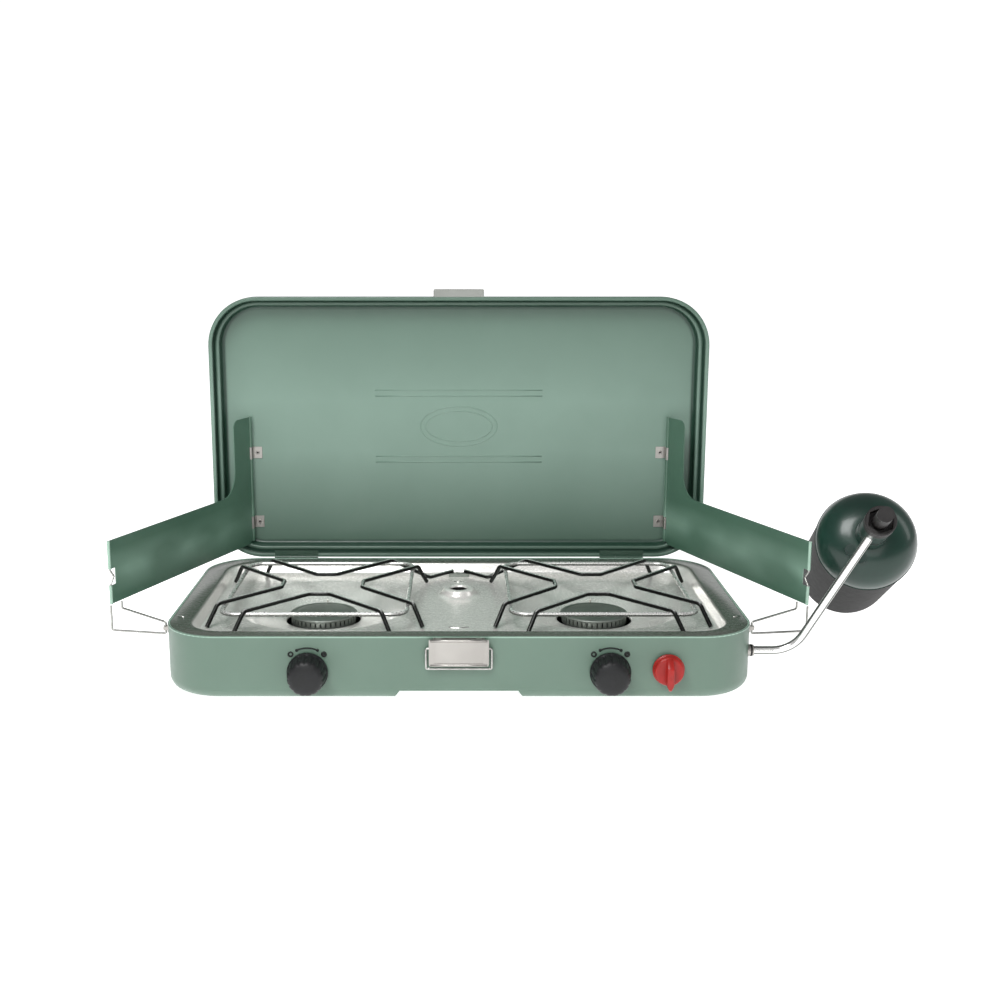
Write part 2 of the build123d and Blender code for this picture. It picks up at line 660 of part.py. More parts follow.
def grate_rest():
    """A low saddle behind the boss, under the hooked ends of both grates."""
    top = WELL_FLOOR + REST_HEIGHT
    saddle = block(-REST_HALF, REST_HALF, REST_Y - 2, REST_Y + 5, WELL_FLOOR, top)
    for side in (-1, 1):
        knee = Vector(side * HOOK_KNEE[0], HOOK_KNEE[1], FOOT_Z + WIRE_R)
        end = Vector(side * HOOK_END[0], HOOK_END[1], FOOT_Z + 2 * WIRE_R)
        past = end + (end - knee) * REST_PAST
        for lift in REST_LIFTS:
            raised = Vector(0, 0, lift)
            saddle -= rod((knee + raised).to_tuple(), (past + raised).to_tuple(), WIRE_R + REST_FIT)
    return saddle


def lid_plane(y):
    return Plane(origin=(0, y, LID_MIDDLE), x_dir=(1, 0, 0), z_dir=(0, 1, 0))


def lid_slab(inset, start, end):
    """A plate of the lid's outline, drawn in by an inset, between two depths."""
    outline = RectangleRounded(CASE_WIDTH - 2 * inset, LID_HEIGHT - 2 * inset, CORNER_R - inset)
    return extrude(lid_plane(start) * outline, end - start)


def lid_shell():
    step_y = LID_FRONT + LID_STEP_DEPTH
    back = LID_FRONT + LID_DEPTH
    deep = lid_slab(LID_STEP, step_y - SHEET, back)
    deep = fillet(deep.faces().sort_by(Axis.Y)[-1].edges(), LID_BACK_R)
    hollow = lid_slab(LID_STEP + SHEET, step_y - 2 * SHEET, back - SHEET)
    hollow = fillet(hollow.faces().sort_by(Axis.Y)[-1].edges(), LID_BACK_R - SHEET)
    shell = lid_slab(0, LID_FRONT, step_y) + deep
    shell -= lid_slab(SHEET, LID_FRONT - SHEET, step_y - SHEET)
    shell -= hollow
    shell += lid_slab(0, LID_FRONT, LID_FRONT + LID_HEM) - lid_slab(LID_HEM, LID_FRONT, LID_FRONT + LID_HEM)
    half = EMBOSS_WIDTH / 2
    for row in EMBOSS_ROWS:
        z = LID_MIDDLE + row
        shell += block(-EMBOSS_HALF, EMBOSS_HALF, PANEL_Y - EMBOSS_PROUD, PANEL_Y, z - half, z + half)
    oval = Ellipse(*EMBOSS_OVAL) - Ellipse(EMBOSS_OVAL[0] - EMBOSS_WIDTH, EMBOSS_OVAL[1] - EMBOSS_WIDTH)
    shell += extrude(lid_plane(PANEL_Y - EMBOSS_PROUD) * oval, EMBOSS_PROUD)
    clear = KNUCKLE_R + KNUCKLE_GAP
    reach = HINGE_HALF + KNUCKLE_GAP
    for side in (-1, 1):
        x = side * HINGE_X
        left, right = x - reach, x + reach
        shell -= block(left, right, LID_FRONT - SHEET, HINGE_Y + clear, HINGE_Z - clear, HINGE_Z + clear)
    return shell


def lid_catch():
    top = LID_BOTTOM + LID_HEIGHT
    front = LID_FRONT + SHEET
    catch = block(-CATCH_HALF, CATCH_HALF, front, front + CATCH_LENGTH, top, top + CATCH_SHEET)
    lip = block(-CATCH_HALF, CATCH_HALF, front, front + CATCH_SHEET, top, top + CATCH_LIP)
    lip = fillet(lip.edges().filter_by(Axis.Y).group_by(Axis.Z)[-1], 2 * SHEET)
    return catch + lip


def catch_rivets():
    top = LID_BOTTOM + LID_HEIGHT + CATCH_SHEET
    y = LID_FRONT + CATCH_LENGTH / 2 + 3 * SHEET
    return [rod((x, y, top), (x, y, top + RIVET_HEAD), RIVET_R) for x in (-CATCH_HALF / 2, CATCH_HALF / 2)]


def case_hinge_leaves():
    leaves = []
    foot = HINGE_Z - LEAF_DROP
    for side in (-1, 1):
        x = side * HINGE_X
        leaf = block(x - HINGE_HALF, x + HINGE_HALF, BACK, BACK + SHEET, foot, HINGE_Z - 2 * KNUCKLE_R)
        leaf += block(x - KNUCKLE_HALF, x + KNUCKLE_HALF, BACK, BACK + SHEET, foot, HINGE_Z)
        leaf += rod((x - KNUCKLE_HALF, HINGE_Y, HINGE_Z), (x + KNUCKLE_HALF, HINGE_Y, HINGE_Z), KNUCKLE_R)
        leaf -= rod((x - HINGE_HALF, HINGE_Y, HINGE_Z), (x + HINGE_HALF, HINGE_Y, HINGE_Z), PIN_R + RUN_FIT)
        leaves.append(leaf)
    return leaves


def lid_hinge_leaves():
    """Two leaves that stand against the lid's front edge, with a knuckle at each end."""
    leaves = []
    knuckle_start = KNUCKLE_HALF + KNUCKLE_GAP
    over = HINGE_Z + KNUCKLE_R + KNUCKLE_GAP
    front = LID_FRONT - SHEET
    for side in (-1, 1):
        x = side * HINGE_X
        leaf = block(x - HINGE_HALF, x + HINGE_HALF, front, LID_FRONT, over, HINGE_Z + LEAF_RISE)
        for end in (-1, 1):
            near, far = sorted((x + end * knuckle_start, x + end * HINGE_HALF))
            leaf += block(near, far, front, LID_FRONT, HINGE_Z + PIN_R, over)
            leaf += rod((near, HINGE_Y, HINGE_Z), (far, HINGE_Y, HINGE_Z), KNUCKLE_R)
        leaf -= rod((x - HINGE_HALF, HINGE_Y, HINGE_Z), (x + HINGE_HALF, HINGE_Y, HINGE_Z), PIN_R)
        leaves.append(leaf)
    return leaves


def hinge_pins():
    pins = []
    for side in (-1, 1):
        x = side * HINGE_X
        pins.append(rod((x - HINGE_HALF, HINGE_Y, HINGE_Z), (x + HINGE_HALF, HINGE_Y, HINGE_Z), PIN_R))
    return pins


def baffle_plane(side):
    """A drawing plane along the leaf: its x runs away from the hinge line and its y runs up."""
    out_x = side * sin(radians(BAFFLE_OUT))
    ahead = -cos(radians(BAFFLE_OUT))
    origin = (side * BAFFLE_X, BAFFLE_Y[side], 0)
    return Plane(origin=origin, x_dir=(out_x, ahead, 0), z_dir=(ahead, -out_x, 0))


def upright(side, reach, low, high, radius):
    """A vertical bar at a distance along the baffle."""
    start = baffle_plane(side).from_local_coords((reach, low, 0))
    end = baffle_plane(side).from_local_coords((reach, high, 0))
    return rod(start.to_tuple(), end.to_tuple(), radius)


def baffle(side):
    root = BAFFLE_PIN_R + RUN_FIT
    outline = Polygon(
        (root, BARREL_BOTTOM),
        (ROOT_STEP, BARREL_BOTTOM),
        (ROOT_STEP, BAFFLE_BOTTOM),
        (BAFFLE_LENGTH, BAFFLE_BOTTOM),
        (BAFFLE_LENGTH, BAFFLE_ARM_TOP),
        (BAFFLE_POST, BAFFLE_ARM_TOP),
        (BAFFLE_POST, BAFFLE_TOP),
        (root, BAFFLE_TOP),
        align=None,
    )
    corners = outline.vertices().sort_by_distance((BAFFLE_POST, BAFFLE_ARM_TOP))
    outline = fillet(corners[0], BAFFLE_INNER_R)
    top_corner = outline.vertices().sort_by_distance((BAFFLE_POST, BAFFLE_TOP))[0]
    outline = fillet(top_corner, BAFFLE_OUTER_R)
    notch_z = (NOTCH_Z[0] + NOTCH_Z[1]) / 2
    notch = Pos(BAFFLE_LENGTH, notch_z) * Rectangle(2 * NOTCH_DEPTH, NOTCH_Z[1] - NOTCH_Z[0])
    half = CLIP_HEIGHT / 2 + CLIP_GAP
    for z in CLIP_Z:
        outline -= Pos(0, z) * Rectangle(2 * (BARREL_R + 2 * CLIP_GAP), 2 * half)
    sheet = baffle_plane(side) * (outline - notch)
    leaf = extrude(sheet, SHEET / 2, both=True)
    levels = [BARREL_BOTTOM]
    for z in CLIP_Z:
        levels += [z - half, z + half]
    levels.append(BAFFLE_TOP)
    for low, high in zip(levels[::2], levels[1::2]):
        leaf += upright(side, 0, low, high, BARREL_R)
    leaf -= upright(side, 0, BARREL_BOTTOM, BAFFLE_TOP, BAFFLE_PIN_R)
    for low, high in ((BAFFLE_BOTTOM, NOTCH_Z[0]), (NOTCH_Z[1], BAFFLE_ARM_TOP)):
        leaf += upright(side, BAFFLE_LENGTH, low, high, EDGE_BARREL_R)
        leaf -= upright(side, BAFFLE_LENGTH, low, high, EDGE_WIRE_R)
    return leaf


def edge_wire(side):
    """The wire in the leaf's free edge, with a V where it crosses the notch."""
    plane = baffle_plane(side)
    middle = (NOTCH_Z[0] + NOTCH_Z[1]) / 2
    route = (
        (BAFFLE_LENGTH, BAFFLE_BOTTOM),
        (BAFFLE_LENGTH, NOTCH_Z[0] + SHEET),
        (BAFFLE_LENGTH - NOTCH_WIRE_IN, middle),
        (BAFFLE_LENGTH, NOTCH_Z[1] - SHEET),
        (BAFFLE_LENGTH, BAFFLE_ARM_TOP),
    )
    points = [plane.from_local_coords((reach, z, 0)).to_tuple() for reach, z in route]
    return bent_wire(points, EDGE_WIRE_R * 1.2, EDGE_WIRE_R)


def baffle_clips(side):
    clips = []
    axis_x = side * BAFFLE_X
    axis_y = BAFFLE_Y[side]
    left, right = sorted((axis_x - side * (CLIP_WIDTH - BARREL_R), axis_x + side * BARREL_R))
    for z in CLIP_Z:
        low = z - CLIP_HEIGHT / 2
        high = z + CLIP_HEIGHT / 2
        clip = block(left, right, PANEL_Y - SHEET, PANEL_Y, low, high)
        clip += block(axis_x - SHEET / 2, axis_x + SHEET / 2, axis_y + BAFFLE_PIN_R, PANEL_Y, low, high)
        clip += rod((axis_x, axis_y, low), (axis_x, axis_y, high), BARREL_R)
        clip -= rod((axis_x, axis_y, low), (axis_x, axis_y, high), BAFFLE_PIN_R + RUN_FIT)
        clips.append(clip)
    return clips


def clip_rivets(side):
    x = side * (BAFFLE_X - CLIP_WIDTH / 2)
    y = PANEL_Y - SHEET
    return [rod((x, y, z), (x, y - RIVET_HEAD, z), RIVET_R) for z in CLIP_Z]


def below_baffle(side, reach, z):
    """A point at a distance along the baffle's line and at a height."""
    return baffle_plane(side).from_local_coords((reach, z, 0)).to_tuple()


def wire_stay(side):
    pivot_x = side * (SIDE + STAY_OUT)
    points = (
        below_baffle(side, STAY_LOW_REACH, STAY_TOP),
        below_baffle(side, STAY_LOW_REACH, STAY_LOW_Z),
        (pivot_x, STAY_Y, STAY_LOW_Z),
        (pivot_x, STAY_Y, STAY_HIGH_Z),
        below_baffle(side, STAY_HIGH_REACH, STAY_HIGH_RISE),
        below_baffle(side, STAY_HIGH_REACH, STAY_TOP),
    )
    return bent_wire(points, 2 * STAY_R, STAY_R)


def stay_eye(side):
    """A small block on the case's side that the stay turns in."""
    pivot_x = SIDE + STAY_OUT
    low = (STAY_LOW_Z + STAY_HIGH_Z) / 2 - EYE_HALF / 2
    high = low + EYE_HALF
    inner = side * (SIDE - EYE_BITE)
    left, right = sorted((inner, side * (pivot_x + EYE_THICK / 2)))
    eye = block(left, right, STAY_Y - EYE_SIDE, STAY_Y + EYE_SIDE, low, high)
    left, right = sorted((inner, side * (SIDE + EYE_FLANGE)))
    eye += block(left, right, STAY_Y - EYE_SIDE, STAY_Y + EYE_BACK, low - EYE_LIP, high + EYE_LIP)
    hole = (side * pivot_x, STAY_Y)
    eye -= rod((*hole, low - SHEET), (*hole, high + SHEET), STAY_R + RUN_FIT)
    eye -= slab(CASE_WIDTH, CASE_DEPTH, 0, CASE_HEIGHT, CORNER_R)
    return eye


def across_latch(out, z, start, end, radius):
    """A round bar along X in front of the case, between two x positions."""
    return rod((start, FRONT - out, z), (end, FRONT - out, z), radius)


def latch_base():
    half = LATCH_BASE_HALF
    base = block(-half, half, FRONT - SHEET, FRONT, LATCH_BASE_BOTTOM, LATCH_BASE_TOP)
    low = LATCH_AXIS_Z - LATCH_EAR_HALF
    high = LATCH_AXIS_Z + LATCH_EAR_HALF
    for side in (-1, 1):
        x0, x1 = sorted((side * LATCH_EAR[0], side * LATCH_EAR[1]))
        base += across_latch(LATCH_AXIS_OUT, LATCH_AXIS_Z, x0, x1, LATCH_EAR_R)
        base += block(x0, x1, FRONT - LATCH_AXIS_OUT, FRONT, low, high)
        base -= across_latch(LATCH_AXIS_OUT, LATCH_AXIS_Z, x0 - SHEET, x1 + SHEET, LATCH_PIN_R + RUN_FIT)
    return base


def latch_rivets():
    rivets = []
    for x in (-LATCH_RIVET_X, LATCH_RIVET_X):
        seat = (x, FRONT - SHEET, LATCH_RIVET_Z)
        rivets.append(rod(seat, (x, FRONT - SHEET - RIVET_HEAD, LATCH_RIVET_Z), RIVET_R))
    return rivets


def latch_lever():
    """A pressed plate that hangs from the pin, with a raised border and two side flanges."""
    face_y = FRONT - LEVER_FRONT
    half = LEVER_HALF
    lever = block(-half, half, face_y - LEVER_SHEET, face_y, LEVER_BOTTOM, LEVER_TOP)
    lever = fillet(lever.edges().filter_by(Axis.Y), 2 * SHEET)
    inside = half - LEVER_BORDER
    pressed = face_y - LEVER_PRESS
    low = LEVER_BOTTOM + LEVER_FOOT
    lever -= block(-inside, inside, face_y - LEVER_SHEET, pressed, low, LEVER_TOP - LEVER_HEAD)
    flange_back = FRONT - LATCH_AXIS_OUT + FLANGE_BACK
    for side in (-1, 1):
        x0, x1 = sorted((side * (half - LEVER_SHEET), side * half))
        foot = LATCH_AXIS_Z - FLANGE_DROP
        lever += block(x0, x1, face_y - LEVER_SHEET / 6, flange_back, foot, LATCH_AXIS_Z)
        lever -= across_latch(LATCH_AXIS_OUT, LATCH_AXIS_Z, x0 - SHEET, x1 + SHEET, LATCH_PIN_R)
        lever -= across_latch(BAIL_OUT, BAIL_PIVOT_Z, x0 - SHEET, x1 + SHEET, BAIL_R + RUN_FIT)
    return lever


def latch_pin():
    y = FRONT - LATCH_AXIS_OUT
    return rod((-LEVER_HALF, y, LATCH_AXIS_Z), (LEVER_HALF, y, LATCH_AXIS_Z), LATCH_PIN_R)


def latch_bail():
    y = FRONT - BAIL_OUT
    inner = LEVER_HALF - 2 * LEVER_SHEET
    points = (
        (-inner, y, BAIL_PIVOT_Z),
        (-BAIL_HALF, y, BAIL_PIVOT_Z),
        (-BAIL_HALF, y, BAIL_BOTTOM),
        (BAIL_HALF, y, BAIL_BOTTOM),
        (BAIL_HALF, y, BAIL_PIVOT_Z),
        (inner, y, BAIL_PIVOT_Z),
    )
    return bent_wire(points, 1.5 * BAIL_R, BAIL_R)


def tank_plane(height):
    """A plane across the cylinder's axis, at a height above its shoulder seam."""
    direction = Vector(*TANK_DIRECTION).normalized()
    level = (1, 0, -direction.X / direction.Z)
    return Plane(origin=Vector(*TANK_SEAM) + direction * height, x_dir=level, z_dir=direction)


def tank_profile(radius, foot, dome, neck):
    """Half section of the tank: flat foot, straight side and domed shoulder."""
    lines = [
        Line((0, foot), (radius - TANK_FOOT_R, foot)),
        CenterArc((radius - TANK_FOOT_R, foot + TANK_FOOT_R), TANK_FOOT_R, -90, 90),
        Line((radius, foot + TANK_FOOT_R), (radius, 0)),
        Bezier((radius, 0), (radius, 0.62 * dome), (0.62 * radius, dome), (neck, dome)),
        Line((neck, dome), (0, dome)),
        Line((0, dome), (0, foot)),
    ]
    return make_face(Curve() + lines)


def cylinder_tank():
    solid = revolve(Plane.XZ * tank_profile(TANK_R, -TANK_BODY, DOME_HEIGHT, NECK_R), Axis.Z)
    hollow_r = TANK_R - TANK_WALL
    hollow = revolve(
        Plane.XZ * tank_profile(hollow_r, TANK_WALL - TANK_BODY, DOME_HEIGHT - TANK_WALL, NECK_R), Axis.Z
    )
    seam = Cylinder(TANK_R + SEAM_PROUD, 2 * SEAM_HALF) - Cylinder(TANK_R - TANK_WALL / 2, 2 * SEAM_HALF)
    tank = solid + Pos(0, 0, -SEAM_HALF) * seam - hollow
    tank -= Pos(0, 0, DOME_HEIGHT) * Cylinder(NECK_BORE_R, 6 * SHEET)
    return tank_plane(0) * tank


def cylinder_valve():
    neck = Pos(0, 0, (DOME_HEIGHT + NECK_TOP) / 2) * Cylinder(NECK_R, NECK_TOP - DOME_HEIGHT)
    neck += Pos(0, 0, DOME_HEIGHT - NECK_PLUG / 2) * Cylinder(NECK_BORE_R, NECK_PLUG)
    neck -= Pos(0, 0, NECK_TOP - 3 * SHEET) * Cylinder(NECK_R / 2, 6 * SHEET)
    return tank_plane(0) * neck


def relief_valve():
    """The relief valve and the filling valve beside it, two stubs that stand on the shoulder."""
    solid = revolve(Plane.XZ * tank_profile(TANK_R, -TANK_BODY, DOME_HEIGHT, NECK_R), Axis.Z)
    stubs = []
    for turn in RELIEF_TURNS:
        place = Pos(RELIEF_OUT * cos(radians(turn)), RELIEF_OUT * sin(radians(turn)), RELIEF_TOP / 2)
        stubs.append(tank_plane(0) * (place * Cylinder(RELIEF_R, RELIEF_TOP) - solid))
    return stubs


def along_tank(low, high, outer, inner=0.0):
    """A round piece on the cylinder's axis between two heights."""
    piece = Pos(0, 0, (low + high) / 2) * Cylinder(outer, high - low)
    if inner:
        piece -= Pos(0, 0, (low + high) / 2) * Cylinder(inner, high - low)
    return piece


def regulator_nut():
    return tank_plane(0) * along_tank(NUT_BOTTOM, NECK_TOP + EDGE_CLEAR, NUT_R, NECK_R + 2 * RUN_FIT)


def regulator_body():
    body = along_tank(NECK_TOP + EDGE_CLEAR, REG_TOP, REG_R)
    body += along_tank(NECK_TOP + EDGE_CLEAR, NECK_TOP + 8, REG_R + SHEET)
    return tank_plane(0) * body


def regulator_cap():
    floor = CAP_GRIP_TOP - CAP_POCKET
    cap = along_tank(REG_TOP, CAP_GRIP_TOP, CAP_GRIP_R)
    cap = chamfer(cap.faces().sort_by(Axis.Z)[-1].edges(), SHEET)
    cap -= Pos(0, 0, floor) * extrude(RegularPolygon(CAP_HEX_R, 6), 2 * CAP_POCKET)
    cap += along_tank(floor, CAP_HUB_TOP, CAP_HUB_R)
    return tank_plane(0) * cap


def regulator_tube():
    port = tank_plane(REG_PORT).origin.to_tuple()
    points = ((TUBE_START, INLET_Y, INLET_Z), (TUBE_CORNER_X, INLET_Y, INLET_Z), port)
    return bent_wire(points, TUBE_BEND, TUBE_R) - regulator_body()


def build_nodes():
    """Every node by name, each with its solid or its list of equal solids."""
    nodes = {
        "case_shell": case_shell(),
        "drip_tray": drip_tray(),
        "flange_tabs": flange_tabs(),
        "manifold_bar": manifold(),
        "inlet_pipe": inlet_pipe(),
        "inlet_socket": inlet_socket(),
        "inlet_grommet": inlet_grommet(),
        "knob_marks": knob_marks(),
        "igniter_body": igniter_body(),
        "igniter_knob": igniter_knob(),
        "ignition_leads": ignition_leads(),
        "grate_rest": grate_rest(),
        "lid_shell": lid_shell(),
        "lid_catch": lid_catch(),
        "catch_rivets": catch_rivets(),
        "case_hinge_leaves": case_hinge_leaves(),
        "lid_hinge_leaves": lid_hinge_leaves(),
        "hinge_pins": hinge_pins(),
        "latch_base": latch_base(),
        "latch_rivets": latch_rivets(),
        "latch_lever": latch_lever(),
        "latch_pin": latch_pin(),
        "latch_bail": latch_bail(),
        "regulator_tube": regulator_tube(),
        "regulator_nut": regulator_nut(),
        "regulator_body": regulator_body(),
        "regulator_cap": regulator_cap(),
        "cylinder_tank": cylinder_tank(),
        "cylinder_valve": cylinder_valve(),
        "relief_valve": relief_valve(),
    }
    for name, side in SIDES:
        x = side * BURNER_X
        nodes[name + "_burner_bowl"] = burner_bowl(x)
        nodes[name + "_burner_ring"] = burner_ring(x)
        nodes[name + "_burner_cap"] = burner_cap(x)
        nodes[name + "_venturi_tube"] = venturi(x)
        nodes[name + "_gas_valve"] = gas_valve(x)
        nodes[name + "_valve_stem"] = valve_stem(x)
        nodes[name + "_burner_knob"] = burner_knob(x)
        nodes[name + "_grate"] = grate(side)
        nodes[name + "_wind_baffle"] = baffle(side)
        nodes[name + "_baffle_pin"] = upright(side, 0, BARREL_BOTTOM, BAFFLE_TOP, BAFFLE_PIN_R)
        nodes[name + "_edge_wire"] = edge_wire(side)
        nodes[name + "_wire_stay"] = wire_stay(side)
    spots = [side * BURNER_X for side in (-1, 1)]
    nodes["burner_posts"] = [burner_post(x) for x in spots]
    nodes["valve_brackets"] = [valve_bracket(x) for x in spots]
    nodes["electrodes"] = [electrode(x) for x in spots]
    nodes["baffle_clips"] = baffle_clips(-1) + baffle_clips(1)
    nodes["clip_rivets"] = clip_rivets(-1) + clip_rivets(1)
    nodes["stay_eyes"] = [stay_eye(-1), stay_eye(1)]
    return nodes


os.makedirs("parts", exist_ok=True)
for node, shape in build_nodes().items():
    if isinstance(shape, list):
        shape = Compound(children=shape)
    shape.label = node
    export_step(shape, f"parts/{node}.step")
    print(node)
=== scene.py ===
import json
from math import cos, pi, radians, sin

import bmesh
import bpy
from mathutils import Matrix, Vector


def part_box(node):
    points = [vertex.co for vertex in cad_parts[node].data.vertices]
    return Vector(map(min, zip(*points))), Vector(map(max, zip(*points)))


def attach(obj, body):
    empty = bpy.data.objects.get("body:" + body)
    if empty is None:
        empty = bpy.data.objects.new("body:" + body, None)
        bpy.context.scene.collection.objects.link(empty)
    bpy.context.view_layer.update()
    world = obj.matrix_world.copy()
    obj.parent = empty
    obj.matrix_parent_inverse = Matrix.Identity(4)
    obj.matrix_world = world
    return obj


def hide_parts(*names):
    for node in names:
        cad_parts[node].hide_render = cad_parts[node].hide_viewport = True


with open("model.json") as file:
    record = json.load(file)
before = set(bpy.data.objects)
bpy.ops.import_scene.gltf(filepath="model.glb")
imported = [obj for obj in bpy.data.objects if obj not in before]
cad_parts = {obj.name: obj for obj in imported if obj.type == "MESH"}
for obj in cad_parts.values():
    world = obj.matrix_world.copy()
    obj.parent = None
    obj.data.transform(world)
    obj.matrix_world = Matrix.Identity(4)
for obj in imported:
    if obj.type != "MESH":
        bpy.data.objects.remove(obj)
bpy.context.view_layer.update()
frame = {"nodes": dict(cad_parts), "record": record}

MM = 0.001
SIDES = (-1, 1)
AHEAD = (0, -1, 0)
UP = (0, 0, 1)


# ---- the shell's sizes, read from the frame -------------------------------

def box(node):
    """A node's lowest and highest corners as vectors."""
    low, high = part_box(node)
    return Vector(low), Vector(high)


def middle_of(node):
    """The middle of a node's box."""
    low, high = box(node)
    return (low + high) / 2


CASE_LOW, CASE_HIGH = box("case_shell")
LID_LOW, LID_HIGH = box("lid_shell")
FLANGE_Z = box("drip_tray")[1].z
BURNER_X = (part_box("right_burner_cap")[0].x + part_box("right_burner_cap")[1].x) / 2
CASE_WIDTH = CASE_HIGH.x - CASE_LOW.x
CASE_DEPTH = CASE_HIGH.y - CASE_LOW.y
RIM_Z = CASE_HIGH.z
CORNER = 57 * MM
SHEET = 1 * MM


# ---- node helper and colours ----------------------------------------------

def linear(code):
    """The linear colour of an sRGB hex code."""
    channels = [int(code[i:i + 2], 16) / 255 for i in (1, 3, 5)]
    return tuple(c / 12.92 if c <= 0.04045 else ((c + 0.055) / 1.055) ** 2.4 for c in channels) + (1,)


def add(tree, kind, inputs=None, **settings):
    """Adds a shader node, sets its properties, and fills or links its inputs."""
    made = tree.nodes.new(kind)
    for name, value in settings.items():
        setattr(made, name, value)
    for socket, value in (inputs or {}).items():
        if isinstance(value, bpy.types.NodeSocket):
            tree.links.new(value, made.inputs[socket])
        else:
            made.inputs[socket].default_value = value
    return made


def start_material(name):
    """An empty material with its tree and its object coordinates in metres."""
    made = bpy.data.materials.new(name)
    made.use_nodes = True
    made.node_tree.nodes.clear()
    where = add(made.node_tree, "ShaderNodeTexCoord").outputs["Object"]
    return made, made.node_tree, where


def noise(tree, where, size, detail=2.0, stretch=(1, 1, 1)):
    """A noise pattern whose features are about the given size in metres."""
    spread = add(tree, "ShaderNodeMapping", {"Vector": where, "Scale": stretch}).outputs["Vector"]
    inputs = {"Vector": spread, "Scale": 1 / size, "Detail": detail}
    return add(tree, "ShaderNodeTexNoise", inputs).outputs["Fac"]


def between(tree, factor, low, high, from_low=0.35, from_high=0.65):
    """A number that runs from low to high as the factor does."""
    inputs = {"Value": factor, "From Min": from_low, "From Max": from_high, "To Min": low, "To Max": high}
    return add(tree, "ShaderNodeMapRange", inputs).outputs["Result"]


def clouded(tree, where, size, detail, main, shade):
    """Two close hex colours in soft clouds of about the given size in metres."""
    share = between(tree, noise(tree, where, size, detail), 0, 1)
    return blend_colours(tree, share, linear(main), linear(shade))


def blend_colours(tree, factor, first, second):
    """One colour turning to another as the factor goes from 0 to 1."""
    mix = add(tree, "ShaderNodeMix", data_type="RGBA")
    for socket, value in (("Factor", factor), ("A", first), ("B", second)):
        target = [s for s in mix.inputs if s.name == socket and (s.type == "RGBA" or socket == "Factor")][0]
        if isinstance(value, bpy.types.NodeSocket):
            tree.links.new(value, target)
        else:
            target.default_value = value
    return [s for s in mix.outputs if s.type == "RGBA"][0]


def close_material(made, tree, shader_inputs, height=None, depth=0.0, distance=1.0):
    """Joins the shader, with an optional bump of a real depth in metres, to the output."""
    if height is not None:
        bump = add(tree, "ShaderNodeBump", {"Height": height, "Strength": distance, "Distance": depth})
        shader_inputs["Normal"] = bump.outputs["Normal"]
    shader = add(tree, "ShaderNodeBsdfPrincipled", shader_inputs)
    add(tree, "ShaderNodeOutputMaterial", {"Surface": shader.outputs["BSDF"]})
    return made


# ---- materials ------------------------------------------------------------

def powder_coat(name, main, shade, rough, painted_reflection_colour=None, peel=1.4 * MM):
    """Pressed steel, powder coated: an even satin colour with a faint orange-peel surface, and, when a
    colour is given, a lighter band of painted reflection about 108 mm up.
    """
    made, tree, where = start_material(name)
    colour = clouded(tree, where, 90 * MM, 3, main, shade)
    # Painted reflection: a lighter band of patches about 108 mm up stands in for light reflected off the
    # coat.
    if painted_reflection_colour:
        height = add(tree, "ShaderNodeSeparateXYZ", {"Vector": where}).outputs["Z"]
        below = add(tree, "ShaderNodeMath", {0: height, 1: 108 * MM}, operation="SUBTRACT").outputs[0]
        away = add(tree, "ShaderNodeMath", {0: below}, operation="ABSOLUTE").outputs[0]
        band = between(tree, away, 0.6, 0.0, 3 * MM, 26 * MM)
        patch = between(tree, noise(tree, where, 70 * MM, 1, (1, 1, 2)), 0.25, 1.0)
        share = add(tree, "ShaderNodeMath", {0: band, 1: patch}, operation="MULTIPLY").outputs[0]
        colour = blend_colours(tree, share, colour, linear(painted_reflection_colour))
    skin = noise(tree, where, peel, 1)
    roughness = between(tree, noise(tree, where, 14 * MM, 4), rough - 0.05, rough + 0.06)
    inputs = {"Base Color": colour, "Roughness": roughness, "Coat Weight": 0.18, "Coat Roughness": 0.22}
    return close_material(made, tree, inputs, skin, 0.02 * MM, 0.5)


def rolled_steel(name, main, tint, rough, grain=(1, 12, 12), size=3 * MM, depth=0.01 * MM):
    """Bright rolled steel sheet: a mirror softened by fine lines along the rolling direction."""
    made, tree, where = start_material(name)
    lines = noise(tree, where, size, 4, grain)
    colour = clouded(tree, where, 60 * MM, 3, main, tint)
    roughness = between(tree, lines, rough - 0.04, rough + 0.07)
    inputs = {"Base Color": colour, "Metallic": 1.0, "Roughness": roughness}
    return close_material(made, tree, inputs, lines, depth, 0.4)


def plated_wire(name, main, shade, rough):
    """Drawn steel wire, nickel-chrome plated: a near mirror with faint drawing marks and dull spots."""
    made, tree, where = start_material(name)
    marks = noise(tree, where, 5 * MM, 4)
    colour = blend_colours(tree, between(tree, marks, 0, 1), linear(main), linear(shade))
    roughness = between(tree, noise(tree, where, 2 * MM, 3), rough, rough + 0.08)
    inputs = {"Base Color": colour, "Metallic": 1.0, "Roughness": roughness}
    return close_material(made, tree, inputs, marks, 0.005 * MM, 0.3)


def chrome_with_painted_reflections(name, toward, bands, rough):
    """Chrome plating on round wire or tube, with painted reflections: light and dark bands, set by the way
    the surface faces, stand in for the studio seen in the chrome.
    """
    made, tree, where = start_material(name)
    facing_way = add(tree, "ShaderNodeTexCoord").outputs["Normal"]
    part = add(tree, "ShaderNodeVectorMath", {0: facing_way, 1: toward}, operation="DOT_PRODUCT")
    share = between(tree, part.outputs["Value"], 0.0, 1.0, -1.0, 1.0)
    ramp = add(tree, "ShaderNodeValToRGB", {"Fac": share})
    stops = ramp.color_ramp.elements
    for place, code in bands[1:-1]:
        stops.new(place).color = linear(code)
    for stop, (place, code) in ((stops[0], bands[0]), (stops[-1], bands[-1])):
        stop.position = place
        stop.color = linear(code)
    marks = noise(tree, where, 2 * MM, 3)
    roughness = between(tree, marks, rough, rough + 0.06)
    inputs = {"Base Color": ramp.outputs["Color"], "Metallic": 0.75, "Roughness": roughness}
    return close_material(made, tree, inputs, marks, 0.004 * MM, 0.3)


